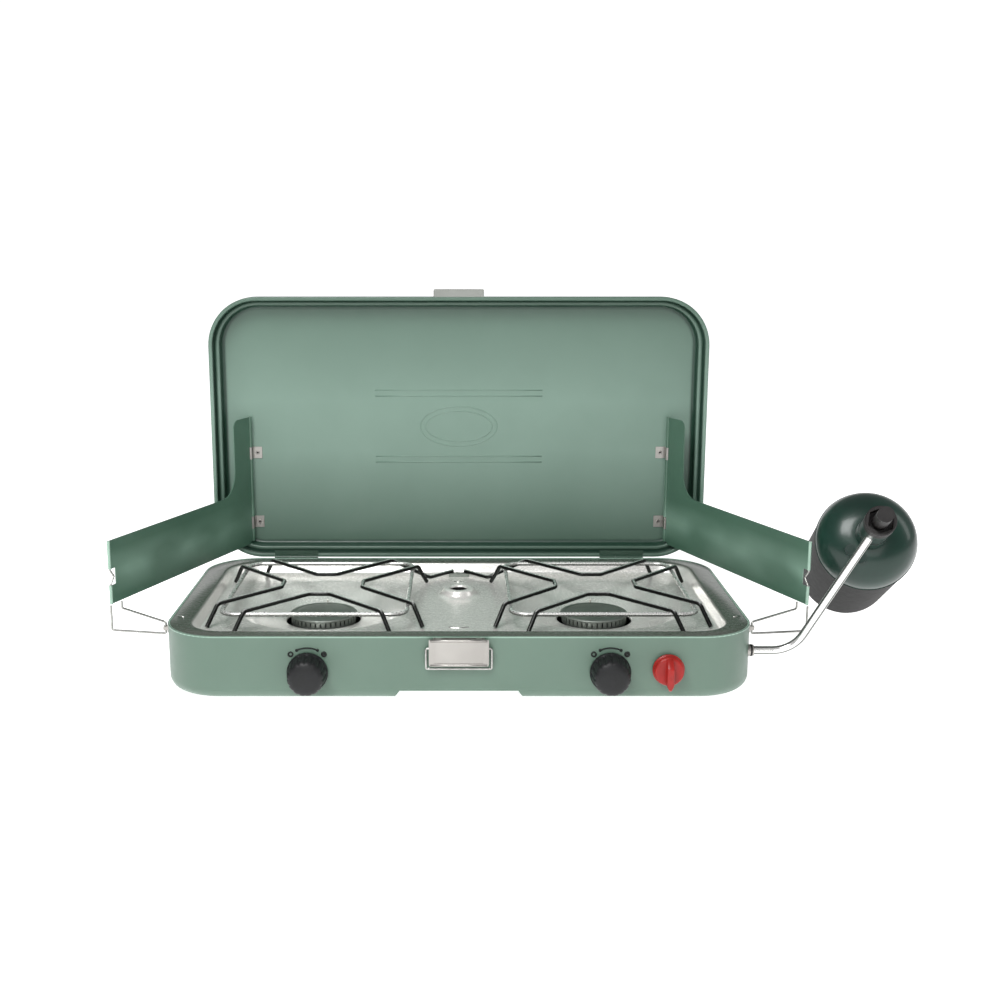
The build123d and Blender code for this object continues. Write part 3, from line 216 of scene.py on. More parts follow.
def moulded_plastic(name, main, shade, rough, grit=0.9 * MM):
    """Injection-moulded plastic with the fine spark-eroded texture of its mould."""
    made, tree, where = start_material(name)
    texture = noise(tree, where, grit, 2)
    colour = clouded(tree, where, 8 * MM, 3, main, shade)
    roughness = between(tree, texture, rough - 0.05, rough + 0.08)
    inputs = {"Base Color": colour, "Roughness": roughness, "IOR": 1.5, "Specular IOR Level": 0.35}
    return close_material(made, tree, inputs, texture, 0.03 * MM, 0.6)


def gloss_enamel(name, main, shade, rough, coat, coat_rough, level=0.5):
    """Sprayed gloss enamel over a drawn steel tank: deep colour under a clear wet-looking skin."""
    made, tree, where = start_material(name)
    colour = clouded(tree, where, 40 * MM, 3, main, shade)
    ripple = noise(tree, where, 6 * MM, 2)
    roughness = between(tree, ripple, rough, rough + 0.03)
    inputs = {"Base Color": colour, "Roughness": roughness, "Coat Weight": coat,
              "Coat Roughness": coat_rough, "Specular IOR Level": level}
    return close_material(made, tree, inputs, ripple, 0.002 * MM, 0.4)


def lid_coat_with_painted_shade(name, main, shade, deep, rough):
    """The same powder coat on the lid, with painted shade: darker in its folds and towards its top and
    bottom, where shadow falls.
    """
    made, tree, where = start_material(name)
    colour = clouded(tree, where, 90 * MM, 3, main, shade)
    height = add(tree, "ShaderNodeSeparateXYZ", {"Vector": where}).outputs["Z"]
    # Painted shade: towards the top and the bottom the coat is mixed with a darker green.
    top = between(tree, height, 0.0, 0.8, 250 * MM, 375 * MM)
    bottom = between(tree, height, 0.75, 0.0, 70 * MM, 190 * MM)
    both = add(tree, "ShaderNodeMath", {0: top, 1: bottom}, operation="ADD").outputs[0]
    colour = blend_colours(tree, both, colour, linear(deep))
    # Painted shade in the folds: each vertex gives how much dark green to mix in where the ledges shade the
    # panel.
    painted_fold_shade = add(tree, "ShaderNodeAttribute", attribute_name="painted_fold_shade").outputs["Fac"]
    colour = blend_colours(tree, painted_fold_shade, colour, linear("#1f3d30"))
    skin = noise(tree, where, 1.4 * MM, 1)
    roughness = between(tree, noise(tree, where, 14 * MM, 4), rough - 0.05, rough + 0.06)
    inputs = {"Base Color": colour, "Roughness": roughness, "Coat Weight": 0.15, "Coat Roughness": 0.25}
    return close_material(made, tree, inputs, skin, 0.02 * MM, 0.5)


def tray_steel(name, floor, rim, rough):
    """Rolled stainless sheet: the drawn well is bright and brushed, the flat rim is smoother, and its darker
    colour is a painted reflection of the green lid.
    """
    made, tree, where = start_material(name)
    height = add(tree, "ShaderNodeSeparateXYZ", {"Vector": where}).outputs["Z"]
    rimness = between(tree, height, 0.0, 1.0, 61.5 * MM, 63.9 * MM)
    lines = noise(tree, where, 3 * MM, 4, (1, 10, 10))
    # The rim's darker colour is a painted reflection of the green lid.
    colour = blend_colours(tree, rimness, linear(floor), linear(rim))
    roughness = between(tree, lines, rough - 0.01, rough + 0.02)
    metal = between(tree, rimness, 0.5, 0.3, 0.0, 1.0)
    inputs = {"Base Color": colour, "Metallic": metal, "Roughness": roughness}
    return close_material(made, tree, inputs, lines, 0.001 * MM, 0.3)


SAGE_COAT = powder_coat("sage_powder_coated_steel", "#566e60", "#5a7264", 0.42)
# The lid's coat carries painted shade in its folds and towards its top and bottom.
LID_COAT = lid_coat_with_painted_shade("sage_powder_coated_lid_with_painted_shade", "#6e887b", "#728c7f", "#385344", 0.4)
# The baffles' coat carries a band of painted reflection about 108 mm up.
FOREST_COAT = powder_coat("forest_green_powder_coated_steel", "#446453", "#4b6b5a", 0.33, "#87a796")
# A lighter copy of the sage coat: a painted highlight along the rolled and folded edges.
EDGE_HIGHLIGHT_COAT = powder_coat("sage_powder_coat_painted_edge_highlight", "#8fae9d", "#9bb8a8", 0.34)
# The tray's darker rim colour is a painted reflection of the green lid.
TRAY_STEEL = tray_steel("polished_rolled_stainless_steel", "#efeeea", "#5c625a", 0.26)
BRIGHT_STEEL = rolled_steel("bright_pressed_stainless_steel", "#eeeeec", "#dcdcd8", 0.15)
BURNER_STEEL = rolled_steel("pressed_aluminised_steel", "#989e98", "#868c86", 0.5, (1, 1, 1), 2 * MM)
ZINC_STEEL = rolled_steel(
    "bright_zinc_plated_steel", "#aaa7a3", "#9d9a96", 0.36, (10, 10, 1), 2.5 * MM, 0.002 * MM
)
# Painted reflections for the wires that carry the pans: mostly dark, with a light line along the top.
PAN_WIRE_PAINTED_REFLECTIONS = (
    (0.0, "#6d6f6b"), (0.3, "#2c2e2c"), (0.6, "#151715"),
    (0.9, "#232523"), (0.94, "#b9bbb7"), (1.0, "#f0f0ee"),
)
# A darker copy of the zinc plating for the lid catch: painted shade.
ZINC_PAINTED_SHADE = rolled_steel(
    "zinc_plated_steel_painted_shade", "#8f918d", "#858783", 0.4, (10, 10, 1), 2.5 * MM, 0.002 * MM
)
# A darker copy of the forest green coat for the hinge leaves: painted shade.
LEAF_SHADE_COAT = powder_coat("forest_green_coat_painted_shade_hinge", "#2a4436", "#2e493b", 0.4)
PAN_WIRE = chrome_with_painted_reflections("nickel_plated_wire_painted_dark_reflections", (0.0, -0.2, 0.98), PAN_WIRE_PAINTED_REFLECTIONS, 0.22)
# Painted reflections for the loop wires: lighter bands.
LOOP_WIRE_PAINTED_REFLECTIONS = (
    (0.0, "#7e807c"), (0.3, "#4b4d4a"), (0.5, "#777975"),
    (0.66, "#babbb7"), (0.86, "#dededb"), (1.0, "#f2f2f0"),
)
LOOP_WIRE = chrome_with_painted_reflections("chrome_plated_wire_painted_reflections", (0.0, -0.2, 0.98), LOOP_WIRE_PAINTED_REFLECTIONS, 0.25)
STAY_WIRE = plated_wire("zinc_plated_spring_wire", "#b5b5b2", "#9c9c98", 0.3)
# Painted reflections for the gas tube: a white core and dark edges, set by which way it faces.
TUBE_PAINTED_REFLECTIONS = (
    (0.0, "#2a2c2a"), (0.6, "#2a2c2a"), (0.66, "#5a5c59"), (0.71, "#c5c6c3"), (0.76, "#a2a4a0"),
    (0.8, "#2b2d2b"),
    (0.85, "#3c3e3c"), (0.89, "#e4e4e2"), (1.0, "#f4f4f2"),
)
TUBE_CHROME = chrome_with_painted_reflections("chrome_plated_brass_tube_painted_reflections", (-0.28, -0.92, 0.21), TUBE_PAINTED_REFLECTIONS, 0.12)
BRASS = rolled_steel("turned_brass", "#c4a45c", "#a88a48", 0.28, (1, 12, 1), 1.5 * MM)
KNOB_PLASTIC = moulded_plastic("charcoal_moulded_nylon", "#141517", "#111213", 0.48)
CAP_PLASTIC = moulded_plastic("dark_grey_moulded_nylon", "#232121", "#1c1a1a", 0.5)
RED_PLASTIC = moulded_plastic("red_moulded_abs", "#9b1d18", "#8e1a15", 0.36)
# Near-black, used only for the painted shade inside bores.
BORE_PAINTED_SHADE = moulded_plastic("painted_shade_black_bore", "#060606", "#0a0a0a", 0.8)
RUBBER = moulded_plastic("black_moulded_rubber", "#171817", "#1f201f", 0.7, 1.2 * MM)
INK = moulded_plastic("black_pad_printed_ink", "#0d1210", "#141a17", 0.55)
CERAMIC = moulded_plastic("glazed_alumina_ceramic", "#e9e6dd", "#dedad0", 0.25, 2 * MM)
TANK_ENAMEL = gloss_enamel("dark_green_gloss_enamelled_steel", "#0a2f25", "#08261e", 0.35, 0.45, 0.18, 0.3)
TANK_SIDE = gloss_enamel("dark_grey_enamelled_steel", "#080707", "#060505", 0.45, 0.0, 0.3, 0.05)
REGULATOR_ENAMEL = gloss_enamel("dark_green_enamelled_zinc_casting", "#122c25", "#0f251f", 0.32, 0.6, 0.2)

FINISHES = {
    "green_enamel": SAGE_COAT,
    "dark_green_enamel": FOREST_COAT,
    "polished_steel": TRAY_STEEL,
    "burner_steel": BURNER_STEEL,
    "zinc_steel": ZINC_STEEL,
    "valve_brass": BRASS,
    "black_rubber": RUBBER,
    "mark_ink": INK,
    "charcoal_plastic": KNOB_PLASTIC,
    "red_plastic": RED_PLASTIC,
    "white_ceramic": CERAMIC,
    "grate_chrome": LOOP_WIRE,
    "wire_chrome": STAY_WIRE,
    "tube_chrome": TUBE_CHROME,
    "regulator_green": REGULATOR_ENAMEL,
    "tank_green": TANK_ENAMEL,
}


# Nodes whose finish differs from the rest of their slot.
NODE_FINISHES = {
    "regulator_cap": CAP_PLASTIC,
    "grate_rest": BURNER_STEEL,
    # The catch takes the darker copy of the zinc, painted shade.
    "lid_catch": ZINC_PAINTED_SHADE,
    # The hinge leaves take the darker copy of the coat, painted shade.
    "case_hinge_leaves": LEAF_SHADE_COAT,
    "lid_hinge_leaves": LEAF_SHADE_COAT,
}


# ---- mesh builders --------------------------------------------------------

def publish(name, bm, material, body, replaces=()):
    """Turns a bmesh into a smooth-shaded piece that rides on a body."""
    bmesh.ops.recalc_face_normals(bm, faces=bm.faces)
    for face in bm.faces:
        face.smooth = True
    mesh = bpy.data.meshes.new(name)
    bm.to_mesh(mesh)
    bm.free()
    mesh.materials.append(material)
    made = bpy.data.objects.new(name, mesh)
    bpy.context.scene.collection.objects.link(made)
    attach(made, body)
    if replaces:
        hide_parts(*replaces)
    return made


def in_mm(section):
    """A section written in millimetres, turned to metres."""
    return [(first * MM, second * MM) for first, second in section]


def bridge_rings(bm, rings):
    """Quads between successive closed rings of vertices."""
    for first, second in zip(rings, rings[1:]):
        count = len(first)
        for k in range(count):
            n = (k + 1) % count
            bm.faces.new((first[k], first[n], second[n], second[k]))


def close_ends(bm, rings):
    """Flat faces over the first and last of a row of rings."""
    bm.faces.new(rings[0])
    bm.faces.new(rings[-1])


def ring_at(bm, outline, height, shift=0.0):
    """A ring of vertices over a level outline."""
    return [bm.verts.new((x, y + shift, height)) for x, y in outline]


def rounded_outline(width, depth, corner, inset, arc_steps=16, side_steps=6):
    """Points of a rounded rectangle drawn in by an inset, always the same count in the same order."""
    points = []
    half_x = width / 2 - corner
    half_y = depth / 2 - corner
    radius = max(corner - inset, 0.05 * MM)
    for quarter, (sx, sy) in enumerate(((1, 1), (-1, 1), (-1, -1), (1, -1))):
        for step in range(arc_steps + 1):
            angle = pi / 2 * (quarter + step / arc_steps)
            points.append((sx * half_x + radius * cos(angle), sy * half_y + radius * sin(angle)))
        nx, ny = ((-1, 1), (-1, -1), (1, -1), (1, 1))[quarter]
        angle = pi / 2 * (quarter + 1)
        start = points[-1]
        end = (nx * half_x + radius * cos(angle), ny * half_y + radius * sin(angle))
        for step in range(1, side_steps):
            t = step / side_steps
            points.append((start[0] + (end[0] - start[0]) * t, start[1] + (end[1] - start[1]) * t))
    return points


def lathe(bm, profile, place=Matrix.Identity(4), segments=64):
    """Turns a half section of (radius, height) about the local Z of a placement; returns its rings."""
    rings = []
    for radius, height in profile:
        ring = []
        for k in range(segments):
            angle = 2 * pi * k / segments
            ring.append(bm.verts.new(place @ Vector((radius * cos(angle), radius * sin(angle), height))))
        rings.append(ring)
    bridge_rings(bm, rings)
    return rings


def facing(origin, direction, side=(1, 0, 0)):
    """A placement whose local Z runs along a direction and whose X leans to a side."""
    z = Vector(direction).normalized()
    x = Vector(side)
    x = (x - z * x.dot(z)).normalized()
    y = z.cross(x)
    turn = Matrix((x, y, z)).transposed().to_4x4()
    return Matrix.Translation(Vector(origin)) @ turn


def wire(bm, path, radius, sides=12, closed=False):
    """A round wire along a path, with flat ends unless the path is closed."""
    count = len(path)
    rings = []
    up = Vector((0.13, 0.27, 0.95))
    for k, point in enumerate(path):
        after = path[(k + 1) % count] if closed or k < count - 1 else point
        before = path[k - 1] if closed or k > 0 else point
        along = (after - before).normalized()
        across = along.cross(up)
        if across.length < 0.05:
            across = along.cross(Vector((1, 0, 0)))
        across.normalize()
        up = across.cross(along)
        ring = []
        for side in range(sides):
            angle = 2 * pi * side / sides
            ring.append(bm.verts.new(point + (across * cos(angle) + up * sin(angle)) * radius))
        rings.append(ring)
    if closed:
        rings.append(rings[0])
    bridge_rings(bm, rings)
    if not closed:
        close_ends(bm, rings)


def fill_between(bm, loops):
    """Fills the flat area that several closed loops of vertices bound."""
    edges = []
    for loop in loops:
        for k, vert in enumerate(loop):
            after = loop[(k + 1) % len(loop)]
            edges.append(bm.edges.get((vert, after)) or bm.edges.new((vert, after)))
    bmesh.ops.triangle_fill(bm, use_beauty=True, edges=edges, normal=UP)


def split_sharp(piece, degrees):
    """Marks the edges that turn by more than an angle as sharp."""
    bm = bmesh.new()
    bm.from_mesh(piece.data)
    for edge in bm.edges:
        if len(edge.link_faces) == 2 and edge.calc_face_angle(0) > radians(degrees):
            edge.smooth = False
    bm.to_mesh(piece.data)
    bm.free()


# ---- pieces of the object -------------------------------------------------

# A section lists pairs in millimetres, from one edge of the sheet to the other: for a pressed rim how far in
# and how far up, and for a turned piece its radius and its height.
WELL_SIDE = 23.5 * MM
WELL_FRONT = 20 * MM
WELL_BACK = 21 * MM
WELL_CORNER = 36 * MM
WELL_DEPTH = 12.4 * MM
TRAY_CLEAR = 0.2 * MM
FLOOR_Z = FLANGE_Z - WELL_DEPTH
BOSS_Y = 38 * MM
TRAY_EDGE = ((0, -0.25), (0.3, 0))
WELL_SECTION = (
    (-2.6, 0), (-1.3, -0.15), (-0.3, -0.55), (0.5, -1.4), (1.1, -2.8), (2.6, -6.2), (4.0, -9.4),
    (4.9, -10.9), (6.1, -11.8), (7.8, -12.25), (10.0, -12.4),
)
DISH_SECTION = (
    (97, 0), (95, -0.12), (93, -0.5), (90, -1.3), (70, -7.2), (50, -13.1), (45, -14.6), (42.5, -15.3),
    (41.2, -15.9), (40.3, -16.9), (40, -18.2),
)
BOSS_SECTION = (
    (28, 0), (25, 0.2), (22, 0.9), (19.6, 2.3), (18.3, 4.2), (17.6, 6.2), (16.9, 7.4), (15.6, 8.2),
    (14, 8.4), (11.4, 8.4), (10, 8.0), (9.4, 7.0), (9.3, 4.0), (9.3, -6.0),
)


def drip_tray():
    """The pressed tray: a flat rim, a rounded well, two dished burner wells and a raised boss."""
    bm = bmesh.new()
    clear = SHEET + TRAY_CLEAR
    tray = (CASE_WIDTH - 2 * clear, CASE_DEPTH - 2 * clear, CORNER - clear)
    well = (CASE_WIDTH - 2 * WELL_SIDE, CASE_DEPTH - WELL_FRONT - WELL_BACK, WELL_CORNER)
    well_y = (WELL_FRONT - WELL_BACK) / 2
    rings = [ring_at(bm, rounded_outline(*tray, 0), FLANGE_Z - SHEET)]
    for inset, drop in in_mm(TRAY_EDGE):
        rings.append(ring_at(bm, rounded_outline(*tray, inset), FLANGE_Z + drop))
    for inset, drop in in_mm(WELL_SECTION):
        rings.append(ring_at(bm, rounded_outline(*well, inset), FLANGE_Z + drop, well_y))
    bridge_rings(bm, rings)
    loops = [rings[-1]]
    for side in SIDES:
        place = Matrix.Translation((side * BURNER_X, 0, FLOOR_Z))
        loops.append(lathe(bm, in_mm(DISH_SECTION), place, 96)[0])
    place = Matrix.Translation((0, BOSS_Y, FLOOR_Z))
    loops.append(lathe(bm, in_mm(BOSS_SECTION), place)[0])
    fill_between(bm, loops)
    publish("pressed_drip_tray", bm, TRAY_STEEL, "case", ["drip_tray"])


BEADS = ((-86 * MM, 10 * MM), (92 * MM, 5 * MM))  # how far back each bead is, and half its length
BEAD_BOW = 2.2 * MM
BEAD_SUNK = 0.3 * MM
BEAD_R = 1.0 * MM
TAB_INNER = (279.2 * MM, -89.6 * MM)
TAB_OUTER = (286.8 * MM, -84.4 * MM)
TAB_R = 0.8 * MM


def tray_beads_and_tabs():
    """Two shallow stiffening beads pressed into the tray's floor, and a bright tab in each side slot."""
    bm = bmesh.new()
    for y, half in BEADS:
        shares = [k / 8 - 1 for k in range(17)]
        path = [Vector((half * t, y + BEAD_BOW * t * t, FLOOR_Z - BEAD_SUNK)) for t in shares]
        wire(bm, path, BEAD_R, 8)
    for side in SIDES:
        start = Vector((side * TAB_INNER[0], TAB_INNER[1], FLANGE_Z))
        end = Vector((side * TAB_OUTER[0], TAB_OUTER[1], FLANGE_Z))
        wire(bm, [start, start.lerp(end, 0.5), end], TAB_R, 8)
    publish("tray_beads_and_tabs", bm, BRIGHT_STEEL, "case")


def shade_cup_in_hole(name, rim, radius, depth, direction, body):
    """A black cup of painted shade inside a hole, standing in for the shadow in its bore: a thin cup with a
    closed end.
    """
    bm = bmesh.new()
    rings = lathe(bm, [(radius, 0), (radius, -depth), (0.1 * MM, -depth)], facing(rim, direction), 32)
    bm.faces.new(rings[-1])
    publish(name, bm, BORE_PAINTED_SHADE, body)


MARK_R = 24 * MM
MARK_PROUD = 0.15 * MM
MARK_LINE_R = 0.75 * MM
MARK_SWEEP = 25  # degrees from straight up to each end of the arc
MARK_SPOT = 42.5  # degrees from straight up to each spot
ARC_DOT = ((0.02, 0.5), (1.5, 0.3), (1.5, -0.3))
SPOT_R = 2.9
OPEN_SPOT_HOLE = 1.25
FILLED_SPOT_HOLE = 0.35


def mark_place(centre, turn):
    """A placement that faces ahead on a knob's circle of marks, at an angle from straight up."""
    return facing(mark_point(centre, turn), AHEAD)


def mark_point(centre, turn):
    """A point on a knob's circle of marks, at an angle from straight up."""
    return centre + MARK_R * Vector((sin(radians(turn)), 0, cos(radians(turn))))


def knob_marks():
    """The printed marks above each knob: an arc that ends in dots, a ring on the left and a filled ring."""
    bm = bmesh.new()
    knob_z = middle_of("left_burner_knob").z
    for side in SIDES:
        centre = Vector((side * BURNER_X, CASE_LOW.y - MARK_PROUD, knob_z))
        arc = [mark_point(centre, turn) for turn in range(-MARK_SWEEP, MARK_SWEEP + 1, 2)]
        wire(bm, arc, MARK_LINE_R, 8)
        for turn in (-MARK_SWEEP, MARK_SWEEP):
            lathe(bm, in_mm(ARC_DOT), mark_place(centre, turn), 20)
        for turn, hole in ((-MARK_SPOT, OPEN_SPOT_HOLE), (MARK_SPOT, FILLED_SPOT_HOLE)):
            ring = ((hole, -0.2), (hole, 0.4), (SPOT_R, 0.4), (SPOT_R, -0.2))
            lathe(bm, in_mm(ring), mark_place(centre, turn), 24)
    publish("printed_knob_marks", bm, INK, "case", ["knob_marks"])


WALL_RING_SECTION = ((4.4, 0), (4.4, 1.6), (4.9, 2.1), (5.6, 2.1), (6.1, 1.6), (6.1, 0))
WALL_RING_SUNK = 0.3 * MM


def wall_ring():
    """A thin black ring round the gas tube where it enters the wall."""
    centre = middle_of("inlet_grommet")
    place = facing((CASE_HIGH.x - WALL_RING_SUNK, centre.y, centre.z), (1, 0, 0), (0, 1, 0))
    bm = bmesh.new()
    lathe(bm, in_mm(WALL_RING_SECTION), place, 32)
    publish("tube_wall_ring", bm, RUBBER, "case", ["inlet_grommet"])


HEM_R = 1.15 * MM
HEM_PROUD = 0.12 * MM
HEM_STEPS = 12


def case_hem():
    """The rolled edge along the top of the case, in the lighter coat that paints the highlight along it."""
    bm = bmesh.new()
    rings = []
    for k in range(HEM_STEPS):
        angle = 2 * pi * k / HEM_STEPS
        inset = HEM_R - HEM_PROUD + HEM_R * cos(angle)
        outline = rounded_outline(CASE_WIDTH, CASE_DEPTH, CORNER, inset)
        rings.append(ring_at(bm, outline, RIM_Z - HEM_R * 0.95 + HEM_R * sin(angle)))
    rings.append(rings[0])
    bridge_rings(bm, rings)
    publish("case_rolled_hem", bm, EDGE_HIGHLIGHT_COAT, "case")


# Each point of the lid's two sides, in millimetres: how far in from the edge and how far back, and then how
# much painted shade the coat gets there, from 0 to 1.
LID_INNER = (
    (0.9, 0, 0), (3.6, 0, 0), (4.3, 0.5, 0), (4.5, 1.2, 0.2), (4.5, 3.8, 0.6), (4.1, 4.4, 1), (1.4, 4.5, 1),
    (1, 5, 1), (1, 12.5, 0.75), (1.3, 13.6, 1), (2.2, 14, 1), (5, 14, 1), (5.9, 13.6, 0.6), (6.5, 12.9, 0.1),
    (7.3, 12.6, 0), (8.9, 12.6, 0), (9.9, 12.9, 0.1), (10.5, 13.8, 0.5), (10.7, 15, 1), (10.8, 23, 1),
    (11.3, 25.2, 1), (12.4, 26.5, 1), (14.2, 27, 1), (15.4, 27, 0.35), (17, 27, 0), (40, 27, 0),
)
LID_OUTER = (
    (0.9, 0, 0), (0.3, 0.25, 0), (0, 0.9, 0), (0, 13.2, 0), (0.3, 14.4, 0), (1.4, 15, 0.3), (5.8, 15, 0.8),
    (6.8, 15.4, 1), (7, 16.2, 0.6), (7, 20, 0), (7.6, 23.1, 0), (9.3, 25.7, 0), (11.9, 27.4, 0), (15, 28, 0),
    (40, 28, 0),
)
LID_MIDDLE = (LID_HIGH.z + LID_LOW.z) / 2


def lid():
    """The pressed lid: a folded hem, a side wall, a raised ledge between two folds and a flat panel."""
    bm = bmesh.new()
    # Each vertex keeps how much painted shade the coat gets at its place.
    shade = bm.verts.layers.float.new("painted_fold_shade")
    width = LID_HIGH.x - LID_LOW.x
    height = LID_HIGH.z - LID_LOW.z
    for section in (LID_INNER, LID_OUTER):
        rings = []
        for inset, depth, painted_fold_shade in section:
            ring = []
            for x, z in rounded_outline(width, height, CORNER, inset * MM):
                vert = bm.verts.new((x, LID_LOW.y + depth * MM, LID_MIDDLE + z))
                vert[shade] = painted_fold_shade
                ring.append(vert)
            rings.append(ring)
        bridge_rings(bm, rings)
        bm.faces.new(rings[-1])
    bmesh.ops.remove_doubles(bm, verts=bm.verts, dist=0.001 * MM)
    publish("pressed_lid", bm, LID_COAT, "lid", ["lid_shell"])


LINE_ROWS = (-43.5, -36.5, 36.5, 43.5)
LINE_POINTS = (-100, -60, -20, 20, 60, 100)
LINE_SUNK = 0.35 * MM
OVALS = ((46, 24), (40, 18.5))
OVAL_SUNK = 0.4 * MM
OVAL_STEPS = 72
LID_BEAD_R = 0.85 * MM


def lid_emboss():
    """Plain pressed beads on the lid's panel: two pairs of lines and an oval between them."""
    bm = bmesh.new()
    panel = LID_HIGH.y - SHEET
    for row in LINE_ROWS:
        z = LID_MIDDLE + row * MM
        wire(bm, [Vector((x * MM, panel + LINE_SUNK, z)) for x in LINE_POINTS], LID_BEAD_R)
    for half_x, half_z in in_mm(OVALS):
        path = []
        for k in range(OVAL_STEPS):
            angle = 2 * pi * k / OVAL_STEPS
            z = LID_MIDDLE + half_z * sin(angle)
            path.append(Vector((half_x * cos(angle), panel + OVAL_SUNK, z)))
        wire(bm, path, LID_BEAD_R, closed=True)
    publish("lid_pressed_beads", bm, LID_COAT, "lid")


def burner_cap(name):
    """A pressed burner cap with a shallow dish, a raised rim and a rolled edge."""
    low, high = box(name)
    centre = (low + high) / 2
    radius = (high.x - low.x) / 2
    section = (
        (0.2, 0), (8, -0.05), (16, -0.35), (24, -0.95), (28.4, -1.5), (29.6, -1.95), (30.6, -2.0),
        (31.6, -1.6), (33.2, -1.6), (34.8, -1.9), (35.9, -2.6), (radius / MM, -3.6), (36.1, -4.4),
        (34, -4.6), (31, -4.6),
    )
    bm = bmesh.new()
    lathe(bm, in_mm(section), Matrix.Translation((centre.x, centre.y, high.z)), 96)
    publish(name + "_pressed", bm, BURNER_STEEL, "case", [name])


# Each ring of a knob: its share of the radius, its share of the length, and how deep the grips are there.
KNOB_SECTION = (
    (0.3, 0.02, 0), (0.97, 0.0, 0), (1.0, 0.02, 0), (1.0, 0.12, 0), (0.99, 0.155, 0), (0.955, 0.18, 0.3),
    (0.95, 0.24, 1), (0.93, 0.45, 1), (0.91, 0.62, 1), (0.89, 0.74, 0.9), (0.86, 0.81, 0.6),
    (0.81, 0.87, 0.3),
    (0.73, 0.92, 0.1), (0.6, 0.958, 0), (0.42, 0.983, 0), (0.2, 0.996, 0), (0.01, 1.0, 0),
)
KNOB_SIDES = 128
KNOB_GRIPS = 16
GRIP_DEPTH = 0.075  # as a share of the radius


def burner_knob(name, body):
    """A moulded knob: a round skirt, fluted sides and a softly domed front."""
    low, high = box(name)
    centre = (low + high) / 2
    radius = (high.x - low.x) / 2
    length = high.y - low.y
    place = facing((centre.x, high.y, centre.z), AHEAD)
    bm = bmesh.new()
    rings = []
    for share, along, flute in KNOB_SECTION:
        ring = []
        for k in range(KNOB_SIDES):
            angle = 2 * pi * k / KNOB_SIDES
            wave = max(0.0, cos(angle * KNOB_GRIPS)) ** 2
            r = radius * share * (1 - GRIP_DEPTH * flute * wave)
            ring.append(bm.verts.new(place @ Vector((r * cos(angle), r * sin(angle), length * along))))
        rings.append(ring)
    bridge_rings(bm, rings)
    close_ends(bm, rings)
    publish(name + "_moulded", bm, KNOB_PLASTIC, body, [name])


IGNITER_R = 15.5
IGNITER_STAND = 1.5 * MM  # how far the disc stands off the wall
IGNITER_DISC = (
    (3, -11), (3, 0), (14.8, 0), (IGNITER_R, 0.6), (IGNITER_R, 2.6), (15.0, 3.1), (14.6, 3.4), (14.4, 7.2),
    (13.8, 8.3), (12.6, 8.9), (11, 9), (0.2, 9),
)
# The grip's side, as height above the axis and distance out, and its layers, as place across and how much
# each is drawn in. Below the taper the grip narrows to a rounded tip.
GRIP_SIDE = (
    (13.2, 8.6), (12.6, 10.4), (6.4, 17.2), (5.0, 17.9), (3.6, 18.0), (-12.0, 18.0), (-15.0, 17.3),
    (-17.2, 15.2), (-18.2, 12.0), (-18.2, 4.0), (-15.2, 3.0), (-12.0, 6.0), (10.0, 6.0),
)
GRIP_LAYERS = ((-3.4, 0.8), (-3.1, 0.25), (-2.6, 0), (2.6, 0), (3.1, 0.25), (3.4, 0.8))
GRIP_TAPER = -12
GRIP_TIP = -19.8
IGNITER_CREASE = 38  # degrees


def igniter_knob():
    """A round disc with a raised pointer grip that slopes away at its top."""
    low, high = box("igniter_knob")
    x = (low.x + high.x) / 2
    z = high.z - IGNITER_R * MM
    back = CASE_LOW.y - IGNITER_STAND
    bm = bmesh.new()
    lathe(bm, in_mm(IGNITER_DISC), facing((x, back, z), AHEAD), 72)
    layers = []
    for across, shrink in GRIP_LAYERS:
        ring = []
        for up, out in GRIP_SIDE:
            narrow = 1.0 if up > GRIP_TAPER else max(0.0, (up - GRIP_TIP) / (GRIP_TAPER - GRIP_TIP))
            drawn_up = up - shrink if up > 0 else up + shrink
            place = (x + across * narrow * MM, back - (out - shrink) * MM, z + drawn_up * MM)
            ring.append(bm.verts.new(place))
        layers.append(ring)
    bridge_rings(bm, layers)
    close_ends(bm, layers)
    made = publish("igniter_knob_moulded", bm, RED_PLASTIC, "igniter_knob", ["igniter_knob"])
    split_sharp(made, IGNITER_CREASE)


LEVER_TOP_R = 1.5 * MM
LEVER_BOTTOM_R = 1.1 * MM
LEVER_BEAD_SUNK = 0.4 * MM
LEVER_END = 1.6 * MM


def lever_beads():
    """Rolled edges along the top and bottom of the latch lever."""
    low, high = box("latch_lever")
    bm = bmesh.new()
    for z, radius in ((high.z - LEVER_TOP_R, LEVER_TOP_R), (low.z + LEVER_BOTTOM_R, LEVER_BOTTOM_R)):
        across = (low.x + LEVER_END, -10 * MM, 10 * MM, high.x - LEVER_END)
        wire(bm, [Vector((x, low.y + LEVER_BEAD_SUNK, z)) for x in across], radius, 16)
    publish("latch_lever_rolled_edges", bm, ZINC_STEEL, "latch_lever")


RIVET_SECTION = (
    (2.3, 0), (2.3, 0.35), (2.0, 0.75), (1.5, 0.9), (1.05, 0.75), (0.95, 0.2), (0.9, -0.6), (0.05, -0.6),
)
RIVET_R = 2 * MM
BOSS_BORE_R = 9.25 * MM
BOSS_BORE_RIM = 6.2 * MM  # above the tray's floor
BOSS_BORE_DEPTH = 10 * MM
RIVET_BORE_R = 1.05 * MM
RIVET_BORE_RIM = 0.3 * MM
RIVET_BORE_DEPTH = 0.25 * MM


